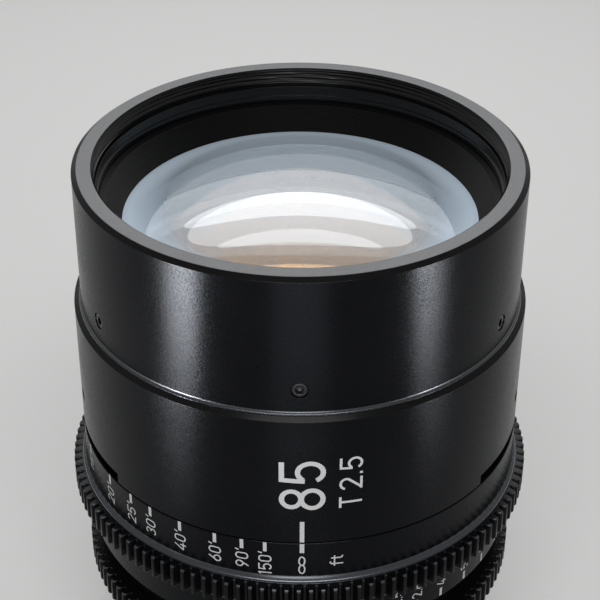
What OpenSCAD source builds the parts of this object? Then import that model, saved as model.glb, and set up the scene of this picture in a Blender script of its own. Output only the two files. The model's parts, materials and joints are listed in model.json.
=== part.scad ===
// Cinema prime lens of 85 mm focal length, built up from its separate pieces.
// The origin is the centre of the mount's flange face, and +Z runs along the optical axis to the front.
// Azimuths are counted in degrees from -Y, where the index line is, towards +X.

/* [Mount] */
// Outside diameter of the throat that enters the camera
throat_d = 54; // [53:0.5:56]
// Length of the throat behind the flange face
throat_len = 10; // [8:0.5:13]
// Diameter over the four flange lugs
lug_d = 71; // [70:0.5:74]
// Thickness of the flange lugs
lug_t = 4; // [3.5:0.25:5]
// Angle that each lug spans
lug_deg = 60; // [50:1:66]
// Diameter of the flange between the lugs
flange_d = 66; // [65:0.5:68]
// Width of the locating slot in one lug
index_slot_w = 3.6; // [3:0.1:5]
// Depth of the locating slot
index_slot_depth = 2; // [1:0.25:2.25]
// Width of the relief cut where the throat meets the flange
relief_w = 1; // [0.6:0.1:1.4]
// Depth of the relief cut
relief_depth = 0.5; // [0.3:0.1:0.8]
// Thickness of the shim that sets the flange distance
shim_t = 0.3; // [0.1:0.05:0.6]
// Width of the shim's ring
shim_w = 4; // [3.5:0.25:4.5]

/* [Mount screws] */
// Place of the mount screws between the throat's bore and the outside of the neck, as a share
mount_screw_share = 0.62; // [0.58:0.01:0.66]
// Shank diameter of the mount screws
mount_screw_d = 2.5; // [2:0.1:3]
// Head diameter of the mount screws
mount_screw_head_d = 4.2; // [3.8:0.1:4.6]
// Length of the mount screws with their heads
mount_screw_len = 8; // [6:0.5:9]
// Height of the straight land on the mount screw heads
mount_screw_land = 0.3; // [0.2:0.1:0.5]
// Depth of the mount screw heads below the flange face
mount_screw_sink = 0.2; // [0.1:0.1:0.5]

/* [Rear barrel] */
// Largest diameter of the rear barrel
rear_d = 93; // [91:0.5:96]
// Length of the rear barrel
rear_len = 10.4; // [9.5:0.1:12]
// Diameter of the neck that the camera's locking ring goes round
neck_d = 66; // [65:0.5:68]
// Length of the neck
neck_len = 5.2; // [4.5:0.1:6]
// Diameter where the tapered shoulder starts
shoulder_d = 80; // [79:0.5:84]
// Height of the plain rim above the tapered shoulder
rear_rim = 1.5; // [1:0.1:2.5]
// Thickness of the floor that the guide sleeve stands on
rear_floor_t = 2; // [1.5:0.1:2.6]

/* [Gears] */
// Module of both follow gears
gear_module = 0.8; // [0.75:0.01:0.82]
// Face width of both follow gears
gear_w = 6; // [5:0.25:8]
// Chamfer on the ends of the teeth
tooth_chamfer = 0.45; // [0.2:0.05:0.7]
// Number of teeth on the focus gear
focus_teeth = 128; // [126:1:132]
// Number of teeth on the iris gear
iris_teeth = 122; // [120:1:126]

/* [Iris ring] */
// Diameter of the collar in front of the iris gear
iris_collar_d = 91; // [90.5:0.5:94]
// Length of the collar
iris_collar_len = 6.3; // [5:0.1:8]
// Diameter of the seat under the iris gear
iris_seat_d = 90; // [88:0.5:91]

/* [Stop scale ring] */
// Outside diameter of the fixed stop scale
t_scale_d = 97; // [95:0.5:98]
// Length of the stop scale ring
t_scale_len = 9; // [7:0.25:12]

/* [Focus ring] */
// Length of the distance scale, from the gear to the index barrel
focus_scale_len = 10.3; // [9:0.1:14]
// Diameter of the seat under the focus gear
focus_seat_d = 94; // [92:0.5:95]
// Height of the flare between the distance scale and the gear
flare_h = 1.6; // [1:0.1:2.5]
// Outward reach of the flare
flare_w = 1; // [0.5:0.1:1.4]
// Number of screws that tie the focus ring to the cam sleeve
drive_screw_count = 3; // [3:1:6]
// Shank diameter of those screws
drive_screw_d = 2; // [1.6:0.1:2.5]
// Head diameter of those screws
drive_screw_head_d = 3.8; // [3.2:0.1:4.5]
// Head height of those screws
drive_screw_head_t = 1.6; // [1.2:0.1:2.2]

/* [Index barrel] */
// Outside diameter of the index barrel and the distance scale
barrel_d = 98; // [97:0.5:100]
// Length of the index barrel
barrel_len = 31.5; // [28:0.5:38]
// Wall of the index barrel
barrel_wall = 4.4; // [3.5:0.1:4.6]
// Wall of the tube inside the index barrel
barrel_tube_wall = 2.4; // [1.6:0.1:2.6]
// Height of the web that joins that tube to the guide sleeve
web_t = 4; // [3:0.25:6]
// Half angle of the pads left at the front and the back of the lower edge
pad_deg = 52; // [40:1:60]
// Height of the relief notches between the pads
notch_h = 2.4; // [1.5:0.1:4]
// Depth of the relief notches
notch_depth = 1.5; // [0.8:0.1:2.2]
// Width of the edge break at the barrel's top
barrel_edge_w = 1; // [0.5:0.1:1.2]
// Height of the edge break at the barrel's top
barrel_edge_h = 0.8; // [0.4:0.1:1.2]
// Azimuth of the barrel screws from the side of the lens
barrel_screw_deg = 15; // [8:1:25]
// Height of the barrel screws above the lower edge
barrel_screw_rise = 10.5; // [6:0.5:16]
// Diameter of the barrel screws
barrel_screw_d = 2.6; // [2:0.1:3.2]

/* [Front ring] */
// Outside diameter of the front, for clamp-on accessories
front_d = 95; // [94.5:0.5:96]
// Length of the front ring
front_len = 31; // [29:0.5:36]
// Wall of the front ring over the front cell
front_wall = 3; // [2.4:0.1:3]
// Bore of the filter thread
filter_d = 86; // [85:0.5:87]
// Length of the filter thread with its mouth
filter_len = 3.6; // [2.8:0.1:4.2]
// Width of the relief groove behind the filter thread
filter_relief = 0.6; // [0.4:0.1:0.8]
// Edge break at the mouth of the filter thread
mouth_break = 0.4; // [0.2:0.1:0.6]
// Width of the ledge behind the filter thread
ledge_w = 0.3; // [0.2:0.05:0.3]
// Depth of the ledge below the rim
ledge_drop = 6.4; // [5.5:0.1:7]
// Width of the polished edge break on the rim
rim_edge_w = 1.1; // [0.6:0.1:1.6]
// Height of the polished edge break on the rim
rim_edge_h = 0.8; // [0.4:0.1:1.4]
// Edge break at the foot of the front ring
foot_break = 0.4; // [0.2:0.1:0.6]
// Number of set screws in the front ring
set_screw_count = 6; // [4:1:8]
// Diameter of the set screws
set_screw_d = 3.4; // [2.5:0.1:4]
// Height of the set screws above the index barrel
set_screw_rise = 5.7; // [4:0.1:9]
// Depth of the set screws below the surface
screw_sink = 0.2; // [0.1:0.05:0.5]

/* [Front group] */
// Diameter of the front element
front_glass_d = 80; // [79:0.5:80.5]
// Radius of the front element's front surface
front_glass_r = 90; // [85:1:110]
// Radius of the front element's back surface
front_glass_back_r = 140; // [130:5:200]
// Depth of the front element's crown below the rim
glass_drop = 5.2; // [5:0.1:6.5]
// Thickness of the front element on the axis
front_glass_t = 10.6; // [9.5:0.1:11.5]
// Diameter of the second element
second_glass_d = 72; // [68:0.5:72.5]
// Radius of the second element's front surface
second_glass_r = 85; // [80:1:95]
// Radius of the second element's back surface
second_glass_back_r = 110; // [100:1:150]
// Thickness of the second element on the axis
second_glass_t = 6.8; // [6:0.1:7.4]
// Air between the first two elements on the axis
front_air = 1; // [0.6:0.1:2]
// Width of the flat rim that an element sits on
glass_seat = 2.2; // [1.6:0.1:2.8]
// Clear diameter of the baffle at the glass
baffle_d = 75.4; // [74:0.2:76.4]
// Diameter of the baffle's mouth
baffle_mouth_d = 81.6; // [80.6:0.2:82]
// Depth of the baffle's mouth below the rim
baffle_drop = 8; // [7.5:0.1:8.6]
// Thickness of the baffle's top flange
baffle_flange_t = 1.4; // [1:0.1:1.8]
// Outside diameter of the baffle's flange
baffle_flange_d = 84.4; // [84:0.1:84.8]
// Outside diameter of the baffle's threaded skirt
baffle_skirt_d = 82.6; // [82.4:0.1:83.2]
// Number of light-trap ridges in the baffle
ridge_count = 9; // [6:1:14]
// Depth of the light-trap ridges
ridge_depth = 0.3; // [0.15:0.05:0.4]
// Width of the baffle's toe on the glass
baffle_toe = 0.6; // [0.4:0.1:0.8]
// Height of the second element's retaining ring
second_ring_h = 2.6; // [1.6:0.1:3.2]

/* [Focus drive] */
// Bore of the guide sleeve
guide_bore_d = 74; // [73.5:0.5:75]
// Wall of the guide sleeve
guide_wall = 2; // [1.4:0.1:2]
// Wall of the cam sleeve
cam_wall = 2.1; // [1.5:0.1:2.2]
// Turn of the focus ring from infinity to close focus
focus_turn = 180; // [90:5:200]
// Travel of the focus group over that turn
focus_travel = 12; // [8:0.5:14]
// Number of cam followers
follower_count = 3; // [2:1:3]
// Diameter of the cam followers
follower_d = 3; // [2.4:0.1:3.6]
// Depth of the cam followers in the focus cell
follower_depth = 6; // [4:0.5:7]
// Height of the cam followers above the foot of the focus cell
follower_rise = 9; // [6:0.5:12]

/* [Focus group] */
// Height of the focus cell's foot above the foot of the focus ring
focus_cell_rise = 5; // [3:0.5:7]
// Length of the focus cell
focus_cell_len = 24; // [24:0.5:26]
// Diameter of the focus group's front element
focus_glass_d = 64; // [62:0.5:66]
// Radius of its front surface
focus_glass_r = 58; // [56:1:70]
// Radius of its back surface
focus_glass_back_r = 140; // [120:5:200]
// Thickness of that element on the axis
focus_glass_t = 8; // [7.5:0.1:9]
// Height of that element's crown above the foot of the focus cell
focus_glass_rise = 30; // [29.5:0.1:30.5]
// Height of its retaining ring
focus_ring_h = 2; // [1.4:0.1:2.4]
// Diameter of the focus doublet
doublet_d = 56; // [54:0.5:57]
// Radius of the doublet's front surface
doublet_r = 80; // [76:1:100]
// Radius of the cemented surface of the doublet
doublet_cement_r = 120; // [110:2:160]
// Radius of the doublet's back surface
doublet_back_r = 70; // [66:1:100]
// Thickness of the doublet's front element on the axis
doublet_front_t = 11; // [10.5:0.1:11.5]
// Thickness of the doublet's back element on the axis
doublet_back_t = 2; // [1.6:0.1:2.4]
// Air between the focus group's front element and its doublet
focus_air = 2; // [1.4:0.1:2.4]

/* [Iris] */
// Number of iris blades
blade_count = 9; // [7:1:11]
// Turn of the iris ring from wide open to the smallest stop
iris_turn = 60; // [40:1:70]
// Swing of each blade over that turn
blade_swing = 31.7; // [20:0.1:32]
// Radius of the circle of blade pivots
blade_pivot_r = 32; // [31.8:0.1:32.4]
// Radius of the blades' inner edge, which is the wide-open stop
blade_inner_r = 20.5; // [19.5:0.1:21]
// Radius of the blades' outer edge
blade_outer_r = 29.8; // [28.5:0.1:29.9]
// Angle that each blade spans
blade_span = 116; // [105:1:120]
// Thickness of a blade
blade_t = 0.12; // [0.08:0.01:0.16]
// Free space between one blade and the next
blade_gap = 0.18; // [0.12:0.01:0.25]
// Diameter of the blades' pivot and drive pins
blade_pin_d = 1; // [0.8:0.05:1.1]
// Rim of a blade round its pins
blade_ear_rim = 0.6; // [0.4:0.05:0.7]
// Distance from a blade's pivot to its drive pin
blade_arm = 5.5; // [5:0.1:5.8]
// Angle of that arm, wide open, from the outward direction
blade_arm_deg = 106; // [104:1:110]
// Angle between a blade's pivot and the start of its sheet
blade_start = 6; // [4:0.5:8]
// Thickness of the blade carrier's plate
carrier_t = 2; // [1.5:0.1:2.5]
// Wall of the blade carrier's rim
carrier_rim = 1.2; // [0.8:0.1:1.3]
// Thickness of the blade drive ring
drive_ring_t = 3.2; // [2.8:0.1:3.6]
// Bore of the blade drive ring
drive_ring_bore_d = 52; // [48:0.5:56]
// Height of the iris retaining ring
iris_cap_h = 2; // [1.4:0.1:3]
// Diameter of the pin that joins the iris ring to the drive ring
iris_pin_d = 2; // [1.6:0.1:2.2]
// Azimuth of that pin when the iris is wide open
iris_pin_az = 150; // [120:5:180]

/* [Rear group] */
// Outside diameter of the rear cell's tail
tail_d = 50; // [49:0.5:51]
// Length of the tail behind the flange face
tail_len = 20; // [18:0.5:26]
// Height of the rear cell's flange
rear_flange_h = 5; // [4.5:0.1:6]
// Diameter of the rear doublet
rear_doublet_d = 46; // [44:0.5:46.5]
// Radius of the rear doublet's hollow front surface
rear_doublet_r = 50; // [46:1:70]
// Radius of the rear doublet's cemented surface
rear_cement_r = 80; // [74:1:100]
// Radius of the rear doublet's back surface
rear_doublet_back_r = 60; // [56:1:80]
// Thickness of the rear doublet's front element on the axis
rear_doublet_front_t = 2; // [1.6:0.1:2.6]
// Thickness of the rear doublet's back element on the axis
rear_doublet_back_t = 9.9; // [9.4:0.1:10.5]
// Height of the rear doublet's retaining ring
rear_doublet_ring_h = 1; // [0.8:0.1:1.6]
// Clear diameter of the lip between the rear doublet and the rear element
rear_lip_d = 40; // [38:0.5:40.5]
// Diameter of the rear element
rear_glass_d = 42; // [41.5:0.5:43]
// Radius of the rear element's front surface
rear_glass_r = 70; // [64:1:90]
// Radius of the rear element's back surface
rear_glass_back_r = 200; // [160:5:260]
// Thickness of the rear element on the axis
rear_glass_t = 8; // [7.4:0.1:9]
// Air between the rear doublet and the rear element
rear_air = 1.5; // [1:0.1:2.5]
// Height of the rear element's retaining ring
rear_ring_h = 3; // [2:0.1:4]
// Clear diameter of the rear element's retaining ring
rear_ring_bore_d = 36; // [34:0.5:38]

/* [Fits] */
// Free space round a part that turns or slides in another
running_gap = 0.05; // [0.03:0.01:0.08]
// Free space between a turning ring and the fixed ring beside it
ring_gap = 0.3; // [0.2:0.05:0.5]
// Free space between parts that are screwed or dropped together
seat_gap = 0.03; // [0.02:0.01:0.05]

/* [Hidden] */
$fn = 96;

// Lugs of the mount, each with one screw
lug_count = 4;
// How far a cut runs past what it cuts
past = 1;
// Extra radius of the holes drilled at the ends of a cam slot
slot_relief = 0.08;
// Play of a screw or pin in its hole
hole_gap = seat_gap;
// Hexagon sockets, as shares of the screw's diameter
socket_share = 0.55;
socket_depth_share = 0.6;

// Heights of the outer rings, from the flange to the front rim
z_shim = lug_t;
z_rear = z_shim + shim_t;
z_shoulder = z_rear + neck_len;
z_rear_top = z_rear + rear_len;
z_floor = z_shoulder + rear_floor_t;
z_iris = z_rear_top + ring_gap;
z_collar = z_iris + gear_w;
z_collar_top = z_collar + iris_collar_len;
z_scale = z_collar_top + ring_gap;
z_scale_top = z_scale + t_scale_len;
z_focus = z_scale_top + ring_gap;
z_focus_scale = z_focus + gear_w;
z_focus_top = z_focus_scale + focus_scale_len;
z_barrel = z_focus_top + ring_gap;
z_front = z_barrel + barrel_len;
z_rim = z_front + front_len;
barrel_screw_z = z_barrel + barrel_screw_rise;
set_screw_z = z_front + set_screw_rise;

// Radii of the sleeves, from the axis outwards
guide_bore_r = guide_bore_d / 2;
guide_r = guide_bore_r + guide_wall;
slide_r = guide_bore_r - running_gap;
inner_r = guide_bore_r - seat_gap;
cam_bore_r = guide_r + running_gap;
cam_r = cam_bore_r + cam_wall;
barrel_r = barrel_d / 2;
barrel_bore_r = barrel_r - barrel_wall;
tube_r = barrel_bore_r - seat_gap;
tube_bore_r = tube_r - barrel_tube_wall;
front_r = front_d / 2;
front_bore_r = front_r - front_wall;
cell_r = front_bore_r - seat_gap;
throat_r = throat_d / 2;
tail_r = tail_d / 2;
throat_bore_r = tail_r + seat_gap;
mount_screw_r = throat_bore_r + mount_screw_share * (neck_d / 2 - throat_bore_r);

// Gears: the tip stands one module above the pitch circle, the root one and a quarter below
addendum = gear_module;
dedendum = 1.25 * gear_module;
pressure_angle = 20;
focus_seat_r = focus_seat_d / 2;
iris_seat_r = iris_seat_d / 2;

// Sagitta of a spherical surface of radius r at the height y from the axis
function sag(r, y) = r - sqrt(r * r - y * y);

// Crowns and edges of the front group
front_crown = z_rim - glass_drop;
front_back = front_crown - front_glass_t;
front_edge = front_back - sag(front_glass_back_r, front_glass_d / 2 - glass_seat);
second_crown = front_back - front_air;
second_back = second_crown - second_glass_t;
second_edge = second_back - sag(second_glass_back_r, second_glass_d / 2 - glass_seat);
second_ring_r = second_glass_d / 2 - glass_seat;
second_ring_foot = second_crown - sag(second_glass_r, second_ring_r) + seat_gap;
baffle_top = z_rim - baffle_drop;
baffle_foot = front_crown - sag(front_glass_r, baffle_d / 2) + seat_gap;
baffle_flange_foot = baffle_top - baffle_flange_t;
front_cell_top = baffle_flange_foot - seat_gap;
lip_bore_r = baffle_flange_d / 2 + seat_gap;
skirt_r = baffle_skirt_d / 2;
front_rim = front_crown - sag(front_glass_r, front_glass_d / 2);
skirt_foot = front_rim + past;

// Crowns and edges of the focus group
focus_foot = z_focus + focus_cell_rise;
focus_crown = focus_foot + focus_glass_rise;
focus_back = focus_crown - focus_glass_t;
focus_edge = focus_back - sag(focus_glass_back_r, focus_glass_d / 2 - glass_seat);
focus_ring_r = focus_glass_d / 2 - glass_seat;
focus_ring_foot = focus_crown - sag(focus_glass_r, focus_ring_r) + seat_gap;
doublet_crown = focus_back - focus_air;
doublet_joint = doublet_crown - doublet_front_t;
doublet_back = doublet_joint - doublet_back_t;
doublet_edge = doublet_back - sag(doublet_back_r, doublet_d / 2 - glass_seat);
doublet_ring_r = doublet_d / 2 - glass_seat;
doublet_ring_foot = doublet_crown - sag(doublet_r, doublet_ring_r) + seat_gap;
follower_z = focus_foot + follower_rise;
follower_seat_r = slide_r - follower_depth;

// Heights of the iris, which stands on the rear cell
z_carrier = z_floor + rear_flange_h;
z_blades = z_carrier + carrier_t + blade_gap;
blade_pitch = blade_t + blade_gap;
z_drive_ring = z_blades + blade_count * blade_pitch;
z_drive_ring_top = z_drive_ring + drive_ring_t;
z_iris_cap = z_drive_ring_top + running_gap;
iris_pin_z = z_drive_ring + drive_ring_t / 2;
iris_pin_end = (guide_r + iris_seat_r) / 2;
blade_step = 360 / blade_count;
blade_pin_r = blade_pin_d / 2;
blade_ear_r = blade_pin_r + blade_ear_rim;

// Crowns and edges of the rear group, from the top of the rear cell down
rear_doublet_rim = z_carrier - rear_doublet_ring_h - seat_gap;
rear_doublet_ring_r = rear_doublet_d / 2 - glass_seat;
rear_doublet_crown = rear_doublet_rim - sag(rear_doublet_r, rear_doublet_ring_r);
rear_joint = rear_doublet_crown - rear_doublet_front_t;
rear_doublet_back = rear_joint - rear_doublet_back_t;
rear_lip_r = rear_lip_d / 2;
rear_lip_top = rear_doublet_back + sag(rear_doublet_back_r, rear_lip_r) - seat_gap;
rear_crown = rear_doublet_back - rear_air;
rear_lip_foot = rear_crown - sag(rear_glass_r, rear_lip_r) + seat_gap;
rear_back = rear_crown - rear_glass_t;
rear_ring_bore_r = rear_ring_bore_d / 2;
rear_ring_top = rear_back + sag(rear_glass_back_r, rear_ring_bore_r) - seat_gap;

// Colours of the finishes
black_anodised = "#1c1c1e";
black_satin = "#101012";
steel = "#b9bbbd";
brass_colour = "#b58d4a";
glass_colour = "#a9c3cf";

// A ring of rectangular section
module ring(r_in, r_out, z0, z1)
  rotate_extrude() translate([r_in, z0]) square([r_out - r_in, z1 - z0]);

// A turned piece: its outline is a list of radius and height pairs
module turned(outline)
  rotate_extrude() polygon(outline);

// Turns the X axis of what follows to the azimuth az
module at_azimuth(az)
  rotate(az - 90) children();

// A radial cylinder along X, from the radius r0 to the radius r1, at the height z
module radial_rod(r, r0, r1, z)
  translate([r0, 0, z]) rotate([0, 90, 0]) cylinder(r = r, h = r1 - r0);

// A radial screw with a hexagon socket, its head end at the radius r1
module socket_screw(d, r0, r1, z) {
  socket_depth = socket_depth_share * d;
  difference() {
    radial_rod(d / 2, r0, r1, z);
    translate([r1 - socket_depth, 0, z]) rotate([0, 90, 0])
      cylinder(d = socket_share * d, h = socket_depth + past, $fn = 6);
  }
}

// A lens element from the height z0 up to z1 at most.
// A surface is [crown height, radius]: it bulges up where its radius is positive.
module element(d, z0, z1, front, back) rotate_extrude() difference() {
  intersection() {
    translate([0, z0]) square([d / 2, z1 - z0]);
    if (front[1] > 0) surface_circle(front);
    if (back[1] < 0) surface_circle(back);
  }
  if (front[1] < 0) surface_circle(front);
  if (back[1] > 0) surface_circle(back);
}

module surface_circle(surface)
  translate([0, surface[0] - surface[1]]) circle(r = abs(surface[1]), $fn = 256);

// Outline of a gear with straight-flanked teeth
function gear_tooth_half_angle(pitch_r, r) =
  (gear_module * PI / 4 - (r - pitch_r) * tan(pressure_angle)) / r * 180 / PI;
function gear_outline(teeth) =
  let (pitch_r = gear_module * teeth / 2, tip_r = pitch_r + addendum, root_r = pitch_r - dedendum)
  let (tip_half = gear_tooth_half_angle(pitch_r, tip_r), root_half = gear_tooth_half_angle(pitch_r, root_r))
  let (corners = [[root_r, -root_half], [tip_r, -tip_half], [tip_r, tip_half], [root_r, root_half]])
  [for (i = [0:teeth - 1], corner = corners)
    let (a = 360 * i / teeth + corner[1]) corner[0] * [cos(a), sin(a)]];

// A follow gear, its tooth ends chamfered, on a seat of radius seat_r
module follow_gear(teeth, seat_r, z0) {
  tip_r = gear_module * teeth / 2 + addendum;
  difference() {
    intersection() {
      translate([0, 0, z0]) linear_extrude(gear_w) polygon(gear_outline(teeth));
      turned([
        [0, z0], [tip_r - tooth_chamfer, z0], [tip_r + tooth_chamfer, z0 + 2 * tooth_chamfer],
        [tip_r + tooth_chamfer, z0 + gear_w - 2 * tooth_chamfer], [tip_r - tooth_chamfer, z0 + gear_w],
        [0, z0 + gear_w]]);
    }
    translate([0, 0, z0 - past]) cylinder(r = seat_r + seat_gap, h = gear_w + 2 * past);
  }
}

// Mount and rear barrel

module mount_screw_places()
  for (i = [0:lug_count - 1]) rotate(360 * i / lug_count) translate([mount_screw_r, 0, 0]) children();

// A mount screw from the height foot up, or its hole where it has play
module mount_screw(foot, play = 0) {
  head_r = mount_screw_head_d / 2 + play;
  shank_r = mount_screw_d / 2 + play;
  cone_foot = mount_screw_sink + mount_screw_land;
  cone_top = cone_foot + head_r - shank_r;
  turned([
    [0, foot], [head_r, foot], [head_r, cone_foot], [shank_r, cone_top], [shank_r, mount_screw_len],
    [0, mount_screw_len]]);
}

module mount_screw_hole()
  mount_screw(-past, hole_gap);

module lens_mount() color(steel) {
  throat_break = 0.6;
  undercut = 0.1;
  lug_half = lug_deg / 2;
  difference() {
    union() {
      // The turning starts and ends between two lugs
      rotate(180 / lug_count) turned([
        [throat_bore_r, -throat_len], [throat_r - throat_break, -throat_len],
        [throat_r, -throat_len + throat_break], [throat_r, 0], [flange_d / 2, 0],
        [flange_d / 2, lug_t], [throat_bore_r, lug_t]]);
      for (i = [0:lug_count - 1]) rotate(360 * i / lug_count - lug_half) rotate_extrude(angle = lug_deg)
        translate([throat_r, 0]) square([lug_d / 2 - throat_r, lug_t]);
    }
    ring(throat_r - undercut, throat_r + relief_w, 0, relief_depth);
    mount_screw_places() mount_screw_hole();
    at_azimuth(0) translate([lug_d / 2 - index_slot_depth, -index_slot_w / 2, -past])
      cube([index_slot_depth + past, index_slot_w, lug_t + 2 * past]);
  }
}

module mount_shim() color(brass_colour) difference() {
  shim_inset = 0.2;
  shim_r = neck_d / 2 - shim_inset;
  ring(shim_r - shim_w, shim_r, z_shim, z_rear);
  mount_screw_places() mount_screw_hole();
}

module mount_screws() color(steel) mount_screw_places() difference() {
  mount_screw(mount_screw_sink);
  translate([0, 0, mount_screw_sink - past])
    cylinder(d = socket_share * mount_screw_d, h = past + socket_depth_share * mount_screw_d, $fn = 6);
}

module rear_barrel() color(black_anodised) difference() {
  turned([
    [throat_bore_r, z_rear], [neck_d / 2, z_rear], [neck_d / 2, z_shoulder], [shoulder_d / 2, z_shoulder],
    [rear_d / 2, z_rear_top - rear_rim], [rear_d / 2, z_rear_top], [guide_r + seat_gap, z_rear_top],
    [guide_r + seat_gap, z_floor], [throat_bore_r, z_floor]]);
  mount_screw_places() mount_screw_hole();
}

// Iris ring and stop scale

module iris_ring() color(black_anodised) difference() {
  edge = 0.4;
  turned([
    [cam_bore_r, z_iris], [iris_seat_r, z_iris], [iris_seat_r, z_collar], [iris_collar_d / 2, z_collar],
    [iris_collar_d / 2, z_collar_top - edge], [iris_collar_d / 2 - edge, z_collar_top],
    [cam_bore_r, z_collar_top]]);
  at_azimuth(iris_pin_az) radial_rod(iris_pin_d / 2 + hole_gap, guide_r, iris_pin_end + hole_gap, iris_pin_z);
}

module iris_gear() color(black_satin) follow_gear(iris_teeth, iris_seat_r, z_iris);

module iris_drive_pin() color(steel) at_azimuth(iris_pin_az)
  radial_rod(iris_pin_d / 2, slide_r - carrier_rim, iris_pin_end, iris_pin_z);

module stop_scale_ring() color(black_anodised) {
  edge = 0.4;
  turned([
    [guide_r + seat_gap, z_scale], [t_scale_d / 2 - edge, z_scale], [t_scale_d / 2, z_scale + edge],
    [t_scale_d / 2, z_scale_top - edge], [t_scale_d / 2 - edge, z_scale_top],
    [guide_r + seat_gap, z_scale_top]]);
}

// Focus ring and its cam

module drive_screw_places()
  for (i = [0:drive_screw_count - 1]) at_azimuth(360 * (i + 0.5) / drive_screw_count) children();

module drive_screw(play) {
  z = z_focus + gear_w / 2;
  head_r = focus_seat_r - screw_sink;
  radial_rod(drive_screw_d / 2 + play, cam_bore_r + screw_sink - play, head_r, z);
  head_end = play > 0 ? head_r + past : head_r;
  radial_rod(drive_screw_head_d / 2 + play, head_r - drive_screw_head_t - play, head_end, z);
}

module focus_ring() color(black_anodised) difference() {
  steps = 6;
  hub_r = cam_r + seat_gap;
  edge = 0.3;
  turned(concat(
    [[hub_r, z_focus], [focus_seat_r, z_focus], [focus_seat_r, z_focus_scale],
     [barrel_r + flare_w, z_focus_scale]],
    [for (i = [0:steps]) let (a = 90 * i / steps)
      [barrel_r + flare_w * (1 - sin(a)), z_focus_scale + flare_h * (1 - cos(a)) + edge]],
    [[barrel_r, z_focus_top - edge], [barrel_r - edge, z_focus_top], [hub_r, z_focus_top]]));
  drive_screw_places() drive_screw(hole_gap);
}

module focus_gear() color(black_satin) follow_gear(focus_teeth, focus_seat_r, z_focus);

module cam_drive_screws() color(steel) drive_screw_places() drive_screw(0);

// The cutter of one helical cam slot: it starts at azimuth 0 and climbs as the azimuth falls
module cam_cutter() {
  steps = 35;
  slope = focus_travel / (focus_turn / 180 * PI * (cam_bore_r + cam_r) / 2);
  half = (follower_d / 2 + running_gap) * sqrt(1 + slope * slope);
  r0 = cam_bore_r - past;
  r1 = cam_r + past;
  corners = [for (i = [0:steps])
    let (f = i / steps, a = -90 - focus_turn * f, z = follower_z + focus_travel * f)
    each [[r0 * cos(a), r0 * sin(a), z - half], [r1 * cos(a), r1 * sin(a), z - half],
          [r1 * cos(a), r1 * sin(a), z + half], [r0 * cos(a), r0 * sin(a), z + half]]];
  sides = [for (i = [0:steps - 1], k = [0:3]) let (a = 4 * i + k, b = 4 * i + (k + 1) % 4)
    each [[a, a + 4, b + 4], [a, b + 4, b]]];
  last = 4 * steps;
  ends = [[0, 1, 2], [0, 2, 3], [last, last + 2, last + 1], [last, last + 3, last + 2]];
  polyhedron(corners, concat(sides, ends));
  for (f = [0, 1]) at_azimuth(-focus_turn * f)
    radial_rod(follower_d / 2 + running_gap + slot_relief, r0, r1, follower_z + focus_travel * f);
}

module cam_sleeve() color(brass_colour) difference() {
  ring(cam_bore_r, cam_r, z_focus, z_front - web_t - ring_gap);
  for (i = [0:follower_count - 1]) rotate(360 * i / follower_count) cam_cutter();
  drive_screw_places() drive_screw(hole_gap);
}

// Fixed sleeves and the index barrel

module follower_places()
  for (i = [0:follower_count - 1]) at_azimuth(360 * i / follower_count) children();

module guide_sleeve() color(black_satin) difference() {
  sleeve_drop = 0.5;
  slot_r = follower_d / 2 + running_gap;
  pin_slot_r = iris_pin_d / 2 + ring_gap;
  slack = 2;
  ring(guide_bore_r, guide_r, z_floor, z_front - sleeve_drop);
  follower_places() {
    for (z = [follower_z, follower_z + focus_travel])
      radial_rod(slot_r, guide_bore_r - past, guide_r + past, z);
    translate([guide_bore_r - past, -slot_r, follower_z])
      cube([guide_wall + 2 * past, 2 * slot_r, focus_travel]);
  }
  at_azimuth(iris_pin_az - slack) rotate_extrude(angle = iris_turn + 2 * slack)
    translate([guide_bore_r - past, iris_pin_z - pin_slot_r]) square([guide_wall + 2 * past, 2 * pin_slot_r]);
}

module barrel_screw_places()
  for (side = [-90, 90], tilt = [-barrel_screw_deg, barrel_screw_deg]) at_azimuth(side + tilt) children();

module barrel_tube() color(black_satin) difference() {
  foot_gap = 0.5;
  turned([
    [tube_bore_r, z_barrel + foot_gap], [tube_r, z_barrel + foot_gap], [tube_r, z_front],
    [guide_r + seat_gap, z_front], [guide_r + seat_gap, z_front - web_t], [tube_bore_r, z_front - web_t]]);
  barrel_screw_places()
    radial_rod(barrel_screw_d / 2 + hole_gap, tube_bore_r - past, tube_r + past, barrel_screw_z);
}

module index_barrel() color(black_anodised) difference() {
  edge = 0.3;
  turned([
    [barrel_bore_r, z_barrel], [barrel_r - edge, z_barrel], [barrel_r, z_barrel + edge],
    [barrel_r, z_front - barrel_edge_h], [barrel_r - barrel_edge_w, z_front], [barrel_bore_r, z_front]]);
  for (side = [-90, 90]) at_azimuth(side - 90 + pad_deg) rotate_extrude(angle = 180 - 2 * pad_deg)
    translate([barrel_r - notch_depth, z_barrel - past]) square([notch_depth + past, notch_h + past]);
  barrel_screw_places()
    radial_rod(barrel_screw_d / 2 + hole_gap, barrel_bore_r - past, barrel_r + past, barrel_screw_z);
}

module barrel_screws() color(steel) barrel_screw_places()
  socket_screw(barrel_screw_d, tube_bore_r + screw_sink, barrel_r - screw_sink, barrel_screw_z);

// Front ring and front group

module set_screw_places()
  for (i = [0:set_screw_count - 1]) at_azimuth(360 * i / set_screw_count) children();

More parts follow.
